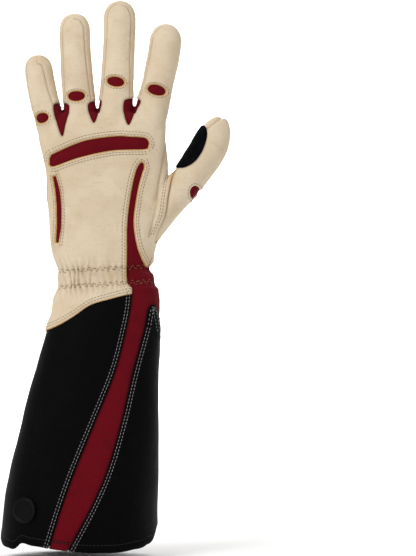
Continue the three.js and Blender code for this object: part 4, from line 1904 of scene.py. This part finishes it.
CREAM = CreamLeather("cream_grain", "cream_leather")
RED = RedStretch("red_twill", "red_stretch")
BLACK = BlackLeather("black_grain", "black_leather")
SUEDE = Suede("black_nap", "black_suede")
RUBBER = Rubber("gloss_rubber", "badge_rubber")
TAN_THREAD = Thread("tan_thread", "cream_leather")
PALE_THREAD = Thread("pale_thread", "black_leather", (172, 172, 172), (104, 104, 106))
BLACK_THREAD = Thread("black_thread", "black_suede", (34, 34, 38), (14, 14, 16))


# Pieces


def finished(name: str, skin: Skin, finish: Finish, *nodes: str) -> Any:
    """Turns a flat skin into a finished piece of the leant glove.

    Args:
        name: The piece's name.
        skin: Its skin, in millimetres.
        finish: Its finish.
        nodes: The CAD nodes that it stands for.

    Returns:
        The object.
    """
    mesh = bpy.data.meshes.new(name)
    places = LEAN(skin.points) * MM
    mesh.vertices.add(len(places))
    mesh.vertices.foreach_set("co", places.ravel())
    mesh.loops.add(skin.faces.size)
    mesh.loops.foreach_set("vertex_index", skin.faces.ravel().astype(np.int32))
    mesh.polygons.add(len(skin.faces))
    mesh.polygons.foreach_set("loop_start", np.arange(0, skin.faces.size, 3, dtype=np.int32))
    mesh.update(calc_edges=True)
    mesh.validate()
    mesh.shade_smooth()
    # the seam mark carries painted shade, the edge mark the edges' own colour
    for mark in ("seam", "edge"):
        layer = mesh.attributes.new(mark, "FLOAT", "POINT")
        layer.data.foreach_set("value", skin.values.get(mark, np.zeros(len(skin.points))).astype(np.float32))
    piece = bpy.data.objects.new(name, mesh)
    bpy.context.scene.collection.objects.link(piece)
    mesh.materials.append(finish.material())
    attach(piece, "root")
    if nodes:
        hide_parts(*nodes)
    LOG.info("%s: %d triangles", name, len(skin.faces))
    return piece


@dataclass
class Row:
    """A row of stitches in the pattern's plane.

    Attributes:
        points: Places (x, z) along it.
        face: The face that it is sewn on.
    """

    points: np.ndarray
    face: Face


def stitch_tree() -> Any:
    """The node tree that lays stitches along the edges of a mesh.

    Returns:
        The tree.
    """
    tree = bpy.data.node_groups.new("Stitches", "GeometryNodeTree")
    face = tree.interface
    face.new_socket("Geometry", in_out="INPUT", socket_type="NodeSocketGeometry")
    for name, value in (("Pitch", 0.0022), ("Length", 0.0016), ("Thickness", 0.00045)):
        face.new_socket(name, in_out="INPUT", socket_type="NodeSocketFloat").default_value = value
    face.new_socket("Material", in_out="INPUT", socket_type="NodeSocketMaterial")
    face.new_socket("Geometry", in_out="OUTPUT", socket_type="NodeSocketGeometry")
    n = Nodes(tree)
    names = ("Geometry", "Pitch", "Length", "Thickness", "Material")
    given = {name: n.add("NodeGroupInput", {}, name) for name in names}
    curve = n.add("GeometryNodeMeshToCurve", {"Mesh": given["Geometry"]})
    even = n.add("GeometryNodeResampleCurve", {"Curve": curve, "Length": given["Pitch"]}, mode="LENGTH")
    tangent = n.add("GeometryNodeInputTangent", {})
    normal = n.add("GeometryNodeInputNamedAttribute", {"Name": "out"}, "Attribute", data_type="FLOAT_VECTOR")
    turn = "FunctionNodeAlignRotationToVector"
    along = n.add(turn, {"Vector": tangent}, axis="X")
    upright = n.add(turn, {"Rotation": along, "Vector": normal}, axis="Z", pivot_axis="X")
    grain = n.add("GeometryNodeMeshUVSphere", {"Segments": 7, "Rings": 6, "Radius": 0.5})
    thick = given["Thickness"]
    size = n.add("ShaderNodeCombineXYZ", {"X": given["Length"], "Y": thick, "Z": thick})
    shape = n.add("GeometryNodeTransform", {"Geometry": grain, "Scale": size})
    place = n.add("GeometryNodeInstanceOnPoints", {"Points": even, "Instance": shape, "Rotation": upright})
    real = n.add("GeometryNodeRealizeInstances", {"Geometry": place})
    smooth = n.add("GeometryNodeSetShadeSmooth", {"Geometry": real})
    dress = n.add("GeometryNodeSetMaterial", {"Geometry": smooth, "Material": given["Material"]})
    tree.links.new(dress.socket, tree.nodes.new("NodeGroupOutput").inputs["Geometry"])
    return tree


@dataclass(frozen=True)
class Sewing:
    """Sews rows of stitches onto the glove.

    Attributes:
        pitch: Distance between stitches.
        length: Length of a stitch.
        thickness: Thickness of the thread.
        lift: How far the thread's middle stands off.
        gap: A row breaks where the surface jumps further than this.
    """

    pitch: float = 2.3
    length: float = 1.75
    thickness: float = 0.46
    lift: float = 0.08
    gap: float = 3.0

    def traced(self, row: Row, ground: BVHTree) -> list[tuple[np.ndarray, np.ndarray]]:
        """The row laid on a surface.

        Args:
            row: The row.
            ground: The surface.

        Returns:
            Runs of places and normals, broken where the surface is missing.
        """
        ahead = Vector((0.0, -row.face.value, 0.0))
        runs: list[tuple[list[Vector], list[Vector]]] = [([], [])]
        for x, z in row.points:
            place, normal, _, _ = ground.ray_cast(Vector((x, AWAY * row.face.value, z)), ahead)
            broken = place is None or (runs[-1][0] and (place - runs[-1][0][-1]).length > self.gap)
            if broken and runs[-1][0]:
                runs.append(([], []))
            if place is not None:
                runs[-1][0].append(place + normal * self.lift)
                runs[-1][1].append(normal)
        return [(np.array(p), np.array(n)) for p, n in runs if len(p) > 3]

    def sew(self, name: str, rows: Sequence[Row], ground: BVHTree, finish: Finish, tree: Any) -> Any:
        """Makes the stitches of some rows as one piece.

        Args:
            name: The piece's name.
            rows: The rows.
            ground: The surface that they are sewn on.
            finish: The thread's finish.
            tree: The stitches' node tree.

        Returns:
            The object.
        """
        runs = [run for row in rows for run in self.traced(row, ground)]
        points = LEAN(np.vstack([p for p, _ in runs])) * MM
        start = np.cumsum([0] + [len(p) for p, _ in runs])
        pairs = [(np.arange(a, b - 1), np.arange(a + 1, b)) for a, b in zip(start, start[1:])]
        edges = np.vstack([np.column_stack(pair) for pair in pairs])
        mesh = bpy.data.meshes.new(name)
        mesh.from_pydata(points.tolist(), edges.tolist(), [])
        out = mesh.attributes.new("out", "FLOAT_VECTOR", "POINT")
        out.data.foreach_set("vector", np.vstack([n for _, n in runs]).astype(np.float32).ravel())
        path = bpy.data.objects.new(name, mesh)
        bpy.context.scene.collection.objects.link(path)
        sewn = path.modifiers.new("stitches", "NODES")
        sewn.node_group = tree
        inputs = {item.name: item.identifier for item in tree.interface.items_tree if item.in_out == "INPUT"}
        sewn[inputs["Pitch"]] = self.pitch * MM
        sewn[inputs["Length"]] = self.length * MM
        sewn[inputs["Thickness"]] = self.thickness * MM
        sewn[inputs["Material"]] = finish.material()
        made = bpy.data.meshes.new_from_object(path.evaluated_get(bpy.context.evaluated_depsgraph_get()))
        path.modifiers.clear()
        made.name = name + "_mesh"
        path.data = made
        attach(path, "root")
        LOG.info("%s: %d faces", name, len(made.polygons))
        return path


@dataclass
class Hand:
    """The glove's hand: leather panels, stretch inserts, pads and their stitches.

    Attributes:
        shape: The skin that they are cut from.
        leather: Depth of the leather's turned edges.
        sunk: How far the stretch cloth lies below the leather.
        pad: How far the pads stand out.
        sewing: How it is sewn.
        cloth: Depth of the gussets' turned edges.
        suede: Depth of the pads' turned edges.
        zigzag: Length and half height of a zigzag stitch over the elastic.
    """

    shape: HandShape = field(default_factory=HandShape)
    leather: float = 1.2
    sunk: float = 1.15
    pad: float = 1.55
    sewing: Sewing = field(default_factory=Sewing)
    cloth: float = 0.9
    suede: float = 1.3
    zigzag: tuple[float, float] = (3.9, 1.8)

    def leather_height(self, skin: Skin, thumb: bool, face: Face) -> np.ndarray:
        """The relief of a leather panel, with its marks written on it.

        Args:
            skin: The panel.
            thumb: Whether it is the thumb's.
            face: The face that it lies on.

        Returns:
            The height of each point.
        """
        v = skin.values
        p = skin.points
        raw = -np.max([v["window"], v["band"], v["radial"], v["slot"]], axis=0)
        ends = [np.linalg.norm(p[:, [0, 2]] - digit.centre()[-1], axis=1) for digit in DIGITS]
        at_tip = OUTSIDE * (1 - smoothstep(np.min(ends, axis=0), 3.5, 9.0))
        at_crown = OUTSIDE * (1 - smoothstep(np.min(ends, axis=0), 1.5, 4.0))
        steep = np.sqrt(np.clip(1 - v["ny"] ** 2, 0.04, 1.0))
        border = np.abs(p[:, 1] - self.shape.border(p[:, 0], p[:, 2])) / steep
        border = border + OUTSIDE * smoothstep(v["thumb"], -3, 2)
        strip, gusset, side = np.abs(v["strip"]) / steep, np.abs(v["gusset"]), np.abs(v["thumb"])
        pucker = 1.0 + 0.5 * noise(p, 2.6, 21, 1)
        sewn = seam(strip + at_tip, 0.4) + seam(gusset, 0.6) + seam(border + at_tip, 0.4)
        height = RELIEF.base(p) + rolled(raw) + pucker * sewn
        if thumb:
            height = height - 1.0 * bell(side, 1.6) + 0.15 * bell(side - 3.4, 1.6)
        else:
            height = height + 0.35 * bell(side, 3.5) - 0.5 * bell(side, 0.6)
        folds = [line_distance(p[:, [0, 2]], spline(line), reach=8.0) for line in EXTRA_SEAMS[face]]
        for fold in folds:
            height = height - pucker * 0.8 * bell(fold, 1.1) + 0.35 * bell(fold - 3.4, 2.4)
        height = height - 0.55 * bell(v["skirt"], 0.8) + 0.3 * bell(v["skirt"] - 3.0, 2.4)
        # painted shade: the seam mark darkens the seams' grooves and the creases
        sides = 0.75 * np.maximum(bell(strip + at_crown, 0.45), bell(border + at_crown, 0.45))
        seams = np.max([sides, bell(gusset, 0.8), 0.8 * bell(side, 0.9)], axis=0)
        for fold in folds:
            seams = np.maximum(seams, 0.7 * bell(fold, 0.7))
        # painted shade in the hollows of the wrist's pleats, carried in the seam mark too
        hollow = np.clip(-RELIEF.pleats(p) / 2.2, 0, 1)
        v["seam"] = np.clip(np.maximum(seams, 0.5 * hollow), 0, 1)
        frayed = 1.0 + 0.35 * noise(p, 1.5, 33, 1)
        edges = [bell(raw * frayed, 0.8) * (p[:, 0] < 58), 0.8 * bell(v["skirt"] * frayed, 0.6)]
        if not thumb:
            edges.append((0.4 + 0.6 * smoothstep(p[:, 2], 62, 78)) * bell(side * frayed, 0.6))
        v["edge"] = np.max(edges, axis=0)
        return height

    def build(self, tree: Any) -> None:
        """Makes the hand's pieces.

        Args:
            tree: The stitches' node tree.
        """
        faces = self.shape.faces()
        ground: dict[Face, list[Skin]] = {face: [] for face in Face}
        thumb, strips, webs = [], [], []
        for face, skin in faces.items():
            v = skin.values
            level = np.minimum(-v["opening"], v["skirt"])
            panel = skin.clipped(np.min([level, -v["thumb"], -v["strip"]], axis=0))
            panel = lifted(panel, self.leather_height(panel, False, face))
            name = "back_panel" if face is Face.BACK else "palm_panel"
            finished(name + "_leather", panel.walled(self.leather, False), CREAM, name)
            part = skin.clipped(np.minimum(level, v["thumb"]))
            thumb.append(lifted(part, self.leather_height(part, True, face)))
            part = skin.clipped(np.min([level, -v["thumb"], v["strip"]], axis=0))
            strips.append(lifted(part, self.leather_height(part, False, face)))
            part = skin.clipped(v["gusset"])
            near = part.values["gusset"]
            # painted shade along the gussets' edges, where the cloth lies sunk
            part.values["seam"] = 0.7 * bell(near, 0.9)
            webs.append(lifted(part, RELIEF.base(part.points) - 0.35 - 0.5 * bell(near, 0.8)))
            ground[face] = [panel, thumb[-1], strips[-1], webs[-1]]
        finished("thumb_leather_shell", joined(thumb).walled(self.leather, False), CREAM, "thumb_leather")
        names = [f"{digit}_{'inner' if side > 0 else 'outer'}_strip" for digit, side, *_ in SIDE_STRIPS]
        finished("finger_side_strips", joined(strips).walled(self.leather, False), CREAM, *names)
        finished("web_gussets", joined(webs).walled(self.cloth, False), RED, *GUSSETS)
        self.inserts(faces[Face.BACK], ground)
        self.pads(faces, ground)
        self.stitches(ground, tree)

    def inserts(self, back: Skin, ground: dict[Face, list[Skin]]) -> None:
        """The stretch cloth behind the openings.

        Args:
            back: The back of the glove.
            ground: The surfaces that stitches can lie on, added to.
        """
        v = back.values
        radial = np.min([v["radial"] + 2.5, -v["band"] - 2.6, v["skirt"] + 1.0], axis=0)
        parts = (
            ("knuckle_band_cloth", v["band"] + 2.5, "band", ("knuckle_band",)),
            ("radial_cloth", radial, "radial", ("radial_insert",)),
            ("little_slot_cloth", v["slot"] + 1.6, "slot", ("little_side_slot",)),
            ("window_cloth", v["window"] + 1.6, "window", tuple(WINDOWS)),
        )
        for name, level, field_name, nodes in parts:
            part = back.clipped(level)
            edge = part.values[field_name]
            # painted shade along the cloth's edges, where it lies sunk under the leather
            part.values["seam"] = 0.55 * bell(edge, 0.45)
            z = part.points[:, 2]
            inner = smoothstep(edge, 0.5, 5.0)
            puff = 1.7 * bell(z - RELIEF.waist, 4.0) - 1.3 * sum(bell(z - row, 2.0) for row in RELIEF.rows)
            ruck = -0.6 * inner * RELIEF.pleats(part.points) + inner * (0.5 + puff)
            height = RELIEF.base(part.points) - self.sunk + ruck - 1.9 * smoothstep(-z, 4, 12)
            ground[Face.BACK].append(lifted(part, height))
            finished(name, ground[Face.BACK][-1], RED, *nodes)

    def pads(self, faces: dict[Face, Skin], ground: dict[Face, list[Skin]]) -> None:
        """The black pads on the palm and the thumb.

        Args:
            faces: The glove's faces.
            ground: The surfaces that stitches can lie on, added to.
        """
        for face, name in ((Face.PALM, "palm_pad"), (Face.BACK, "thumb_pad")):
            skin = faces[face]
            frontal = face.value * skin.values["ny"] * 10.0 - (4.6 if face is Face.PALM else -30.0)
            part = skin.clipped(np.minimum(skin.values["pad"], frontal))
            edge = part.values["pad"]
            height = RELIEF.base(part.points) + 0.5 + (self.pad - 0.5) * smoothstep(edge, -0.4, 1.5)
            height = height + 0.5 * smoothstep(edge, 2, 9)
            if face is Face.PALM:
                height = height - 0.5 * bell(edge - PAD_ROW, 0.7)
            part.values["edge"] = bell(edge, 0.6)
            part = lifted(part, height)
            ground[face].append(part)
            pad = finished(name + "_suede", part.walled(self.suede, False), SUEDE, name)

    def stitches(self, ground: dict[Face, list[Skin]], tree: Any) -> None:
        """The rows of stitches on the hand.

        Args:
            ground: The surfaces that they lie on.
            tree: The stitches' node tree.
        """
        back, palm = Face.BACK, Face.PALM
        rows = [Row(outline.ring(2.0), back) for outline in window_outlines()]
        rows += [Row(outline.ring(by), back) for outline in (KNUCKLE_BAND, RADIAL_SLOT) for by in (2.2, 4.0)]
        rows.append(Row(LITTLE_SLOT.ring(2.0), back))
        side = spline(SLOT_SIDE_ROW)
        rows += [Row(side, back), Row(side + (1.6, 0.0), back)]
        thumb = spline(THUMB_SEAM_BACK[1:6])
        rows += [Row(thumb - (by, 0.0), back) for by in (2.7, 4.4)]
        ball = Outline(np.vstack([spline(THUMB_SEAM_PALM, 0.8), THUMB_FAR]))
        for by in (1.5, 3.2):
            ring = ball.ring(by)
            rows.append(Row(ring[: len(ring) - 5], palm))
        for face, end in ((back, 17.5), (palm, 40.0)):
            run = np.arange(-45.0, end, 0.7)
            rows += [Row(np.column_stack([run, skirt_height(face, run) + by]), face) for by in (2.0, 3.9)]
        across = np.arange(-38, 37, 0.35)
        length, high = self.zigzag
        zigzag = high * (2 * np.abs((across / length) % 1.0 * 2 - 1) - 1) + RELIEF.tilt * across
        gathers = [np.column_stack([across, height + zigzag]) for height in RELIEF.rows]
        rows += [Row(line, face) for line in gathers for face in Face]
        rows += [Row(spline(line), palm) for line in (HEEL_ROW, INDEX_ROW)]
        rows += [Row(line, palm) for line in self.finger_rows()]
        surface = surfaces(ground)
        for face in Face:
            chosen = [row for row in rows if row.face is face]
            self.sewing.sew(f"{face.name.lower()}_stitches", chosen, surface[face], TAN_THREAD, tree)
        pads = [Row(PALM_PAD.ring(-PAD_ROW), palm)]
        pads += [Row(spline(band) - (0.0, by), palm) for band in PAD_BANDS for by in (0.0, 1.9)]
        self.sewing.sew("palm_pad_stitches", pads, surface[palm], BLACK_THREAD, tree)

    @staticmethod
    def finger_rows() -> list[np.ndarray]:
        """Double rows across the fingers on the palm.

        Returns:
            The rows' lines.
        """
        rows = []
        for name, heights in FINGER_ROWS.items():
            digit = BY_NAME[name]
            line = digit.centre()
            for height in heights:
                k = int(np.argmin(np.abs(line[:, 1] - height)))
                row = digit.crossing(k, height, 0.86, 60)
                rows.append(row[palm_webs(row) < -1.0])
        thumb = BY_NAME["thumb"]
        line = thumb.centre()
        for share in THUMB_ROWS:
            k = int(share * len(line))
            rows.append(thumb.crossing(k, line[k, 1], 0.84, 40))
        return rows


CUFF_NODES = {  # the forearm's parts and the CAD nodes that they stand for
    "cuff_back": "cuff_back_panel", "cuff_palm": "cuff_palm_panel",
    "cuff_wedge": "cuff_wedge", "cuff_stripes": "cuff_stripes",
}
BADGE_PROFILE = (  # share of the radius, and height as a share of the thickness
    (1.0, -0.2), (1.0, 0.5), (0.985, 0.8), (0.94, 0.97), (0.89, 1.0), (0.84, 0.95), (0.8, 0.62),
    (0.76, 0.6), (0.62, 0.66), (0.35, 0.72), (0.0, 0.72),
)


@dataclass
class Cuff:
    """The forearm: black leather, red stripes, a badge and their stitches.

    Attributes:
        shape: The skin that they are cut from.
        leather: The leather's thickness.
        badge: Radius and thickness of the badge.
        badge_place: The badge's middle.
        sewing: How it is sewn.
        groove: Height above the hem of the groove in its fold.
        hem_row: Height above the hem of its stitches.
        stripe_rows: How far the rows beside a stripe lie from its edge.
    """

    shape: CuffShape = field(default_factory=CuffShape)
    leather: float = 1.3
    badge: tuple[float, float] = (9.3, 1.2)
    badge_place: tuple[float, float] = (-56.3, -164.9)
    sewing: Sewing = field(default_factory=lambda: Sewing(pitch=2.5, length=1.9))
    groove: float = 5.6
    hem_row: float = 5.5
    stripe_rows: tuple[float, float] = (1.5, 3.4)

    def build(self, tree: Any) -> None:
        """Makes the forearm's pieces.

        Args:
            tree: The stitches' node tree.
        """
        faces = self.shape.faces()
        parts: dict[str, list[Skin]] = {name: [] for name in CUFF_NODES}
        ground: dict[Face, list[Skin]] = {face: [] for face in Face}
        for face, skin in faces.items():
            skin = lifted(skin, self.shape.folds(skin.points))
            v = skin.values
            level = np.min([v["hem"], v["vent"], v["skirt"]], axis=0)
            cuts = {
                "cuff_back": np.min([level, -v["near"], -v["front"]], axis=0),
                "cuff_palm": np.min([level, -v["near"], v["front"]], axis=0),
                "cuff_wedge": np.minimum(level, v["far"]),
                "cuff_stripes": np.min([level, v["near"], -v["far"]], axis=0),
            }
            for name, cut in cuts.items():
                if (cut > 0).any():
                    part = self.shaped(skin.clipped(cut), name == "cuff_stripes")
                    parts[name].append(part)
                    ground[face].append(part)
        for name, skins in parts.items():
            finish = RED if name == "cuff_stripes" else BLACK
            finished(name + "_shell", joined(skins).walled(self.leather, True), finish, CUFF_NODES[name])
        surface = surfaces(ground)
        self.button(surface[Face.BACK])
        self.stitches(surface, tree)

    def shaped(self, skin: Skin, red: bool) -> Skin:
        """Rolls the leather beside the stripes and sinks the stripes.

        Args:
            skin: A piece of the forearm.
            red: Whether it is a stripe.

        Returns:
            The shaped piece.
        """
        v = skin.values
        beside = np.minimum(np.abs(v["near"]), np.abs(v["far"]))
        hem = np.minimum(v["hem"], v["vent"])
        v["edge"] = 0.7 * bell(hem, 0.9)
        if red:
            # painted shade along the sunk stripes' edges and in the hem's groove
            v["seam"] = np.maximum(bell(beside, 1.2), bell(hem - self.groove, 0.8))
            height = -0.9 + 0.35 * smoothstep(beside, 0.5, 5) - 0.3 * bell(hem, 1.0)
            return lifted(skin, height - 0.6 * bell(hem - self.groove, 0.8))
        roll = -0.6 * bell(beside, 0.8) + 0.45 * bell(beside - 2.4, 2.0)
        fold = -0.4 * bell(hem, 0.9) + 0.35 * bell(hem - 3.0, 2.5) - 0.4 * bell(hem - self.groove, 0.9)
        fold = fold * (1 - smoothstep(skin.points[:, 0], 26, 35))
        return lifted(skin, roll + fold + seam(np.abs(v["front"]), 0.7))

    def button(self, surface: BVHTree) -> None:
        """The bare round badge.

        Args:
            surface: The forearm's back.
        """
        radius, thickness = self.badge
        x, z = self.badge_place
        place, normal, _, _ = surface.ray_cast(Vector((x, -AWAY, z)), Vector((0.0, 1.0, 0.0)))
        sides = 96
        rings = []
        spin = np.arange(sides) / sides * 2 * np.pi
        n = np.array(normal)
        across = np.cross(n, (0.0, 0.0, 1.0))
        across /= np.linalg.norm(across)
        upright = np.cross(across, n)
        for share, height in BADGE_PROFILE:
            ring = np.outer(np.cos(spin), across) + np.outer(np.sin(spin), upright)
            rings.append(np.array(place) + max(share, 0.01) * radius * ring + n * (0.35 + height * thickness))
        points, triangles = loft(rings)
        a, b, c = (points[triangles[:, k]] for k in range(3))
        middle = points[triangles].mean(1) - points.mean(0)
        if (np.cross(b - a, c - a) * middle).sum() < 0:
            triangles = triangles[:, ::-1]
        finished("badge_button", Skin(points, triangles), RUBBER, "badge")

    def stitches(self, surface: dict[Face, BVHTree], tree: Any) -> None:
        """The rows of stitches beside the stripes and along the hem.

        Args:
            surface: The forearm's faces.
            tree: The stitches' node tree.
        """
        rows = []
        for face in Face:
            for by in self.stripe_rows:
                near = stripe_edge(STRIPE_NEAR, face).ring(by)
                far = stripe_edge(STRIPE_FAR, face).ring(-by)
                rows += [Row(near[:-4], face), Row(far[4:-4], face)]
        for face in Face:
            chosen = [row for row in rows if row.face is face]
            self.sewing.sew(f"cuff_{face.name.lower()}_stitches", chosen, surface[face], PALE_THREAD, tree)
            run = np.arange(-70.0, 33.0, 0.7)
            hem = [Row(np.column_stack([run, hem_height(face, run) + self.hem_row]), face)]
            if face is Face.PALM:
                hem.append(Row(spline(ULNAR_SEAM, 1.0)[:-22] + (1.6, 0.0), face))
            self.sewing.sew(f"hem_{face.name.lower()}_stitches", hem, surface[face], BLACK_THREAD, tree)


LAMPS = (  # name, place, size, watts, and where it points
    ("key", (-0.75, -0.9, 1.2), 0.7, 15.0, (0.0, 0.0, 0.0)),
    ("fill", (1.2, -1.0, 0.35), 1.2, 2.5, (0.0, 0.0, 0.0)),
    ("sweep", (0.2, 1.9, 1.9), 2.4, 150.0, (0.0, 3.4, 0.0)),
)


@dataclass(frozen=True)
class Studio:
    """Pale floor, soft light and the camera, in metres.

    Attributes:
        centre: The middle of the picture.
        height: How much of the scene the picture is high.
        lens: The lens's focal length in millimetres.
        floor: Height of the floor.
        sky: Brightness of the surroundings.
    """

    centre: tuple[float, float] = (0.0734, 0.0)
    height: float = 0.4003
    lens: float = 200.0
    floor: float = -0.2005
    sky: float = 0.5

    def build(self) -> None:
        """Makes the floor, the lights and the camera."""
        scene = bpy.context.scene
        data = bpy.data.cameras.new("camera")
        data.lens = self.lens
        camera = bpy.data.objects.new("camera", data)
        camera.location = (self.centre[0], -self.height * self.lens / 36.0, self.centre[1])
        camera.rotation_euler = (math.pi / 2, 0.0, 0.0)
        scene.collection.objects.link(camera)
        scene.camera = camera
        self.paper()
        for name, place, size, watts, target in LAMPS:
            light = bpy.data.lights.new(name, "AREA")
            light.energy, light.size = watts, size
            lamp = bpy.data.objects.new(name, light)
            lamp.location = place
            lamp.rotation_euler = (Vector(target) - Vector(place)).to_track_quat("-Z", "Y").to_euler()
            scene.collection.objects.link(lamp)
        world = bpy.data.worlds.new("studio")
        world.use_nodes = True
        surround = world.node_tree.nodes["Background"]
        surround.inputs["Color"].default_value = (1.0, 1.0, 1.0, 1.0)
        surround.inputs["Strength"].default_value = self.sky
        scene.world = world
        scene.view_settings.view_transform = "Standard"

    def paper(self) -> None:
        """The floor that sweeps up far behind the glove."""
        profile = [(-3.0, 0.0), (3.0, 0.0)]
        for a in np.linspace(0.1, math.pi / 2, 14):
            profile.append((3.0 + 1.2 * math.sin(a), 1.2 - 1.2 * math.cos(a)))
        profile.append((4.2, 4.0))
        points = [(x, y, self.floor + z) for x in (-4.0, 4.0) for y, z in profile]
        n = len(profile)
        quads = [(k, k + n, k + n + 1, k + 1) for k in range(n - 1)]
        mesh = bpy.data.meshes.new("paper")
        mesh.from_pydata(points, [], quads)
        mesh.update()
        mesh.shade_smooth()
        floor = bpy.data.objects.new("paper", mesh)
        bpy.context.scene.collection.objects.link(floor)
        mesh.materials.append(Backdrop("pale_paper", "").material())


def main() -> None:
    """Builds the studio and the glove."""
    logging.basicConfig(level=logging.INFO, format="%(message)s")
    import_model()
    Studio().build()
    LOG.info("studio built")
    tree = stitch_tree()
    Hand().build(tree)
    LOG.info("hand built")
    Cuff().build(tree)
    LOG.info("forearm built")


if __name__ == "__main__":
    main()
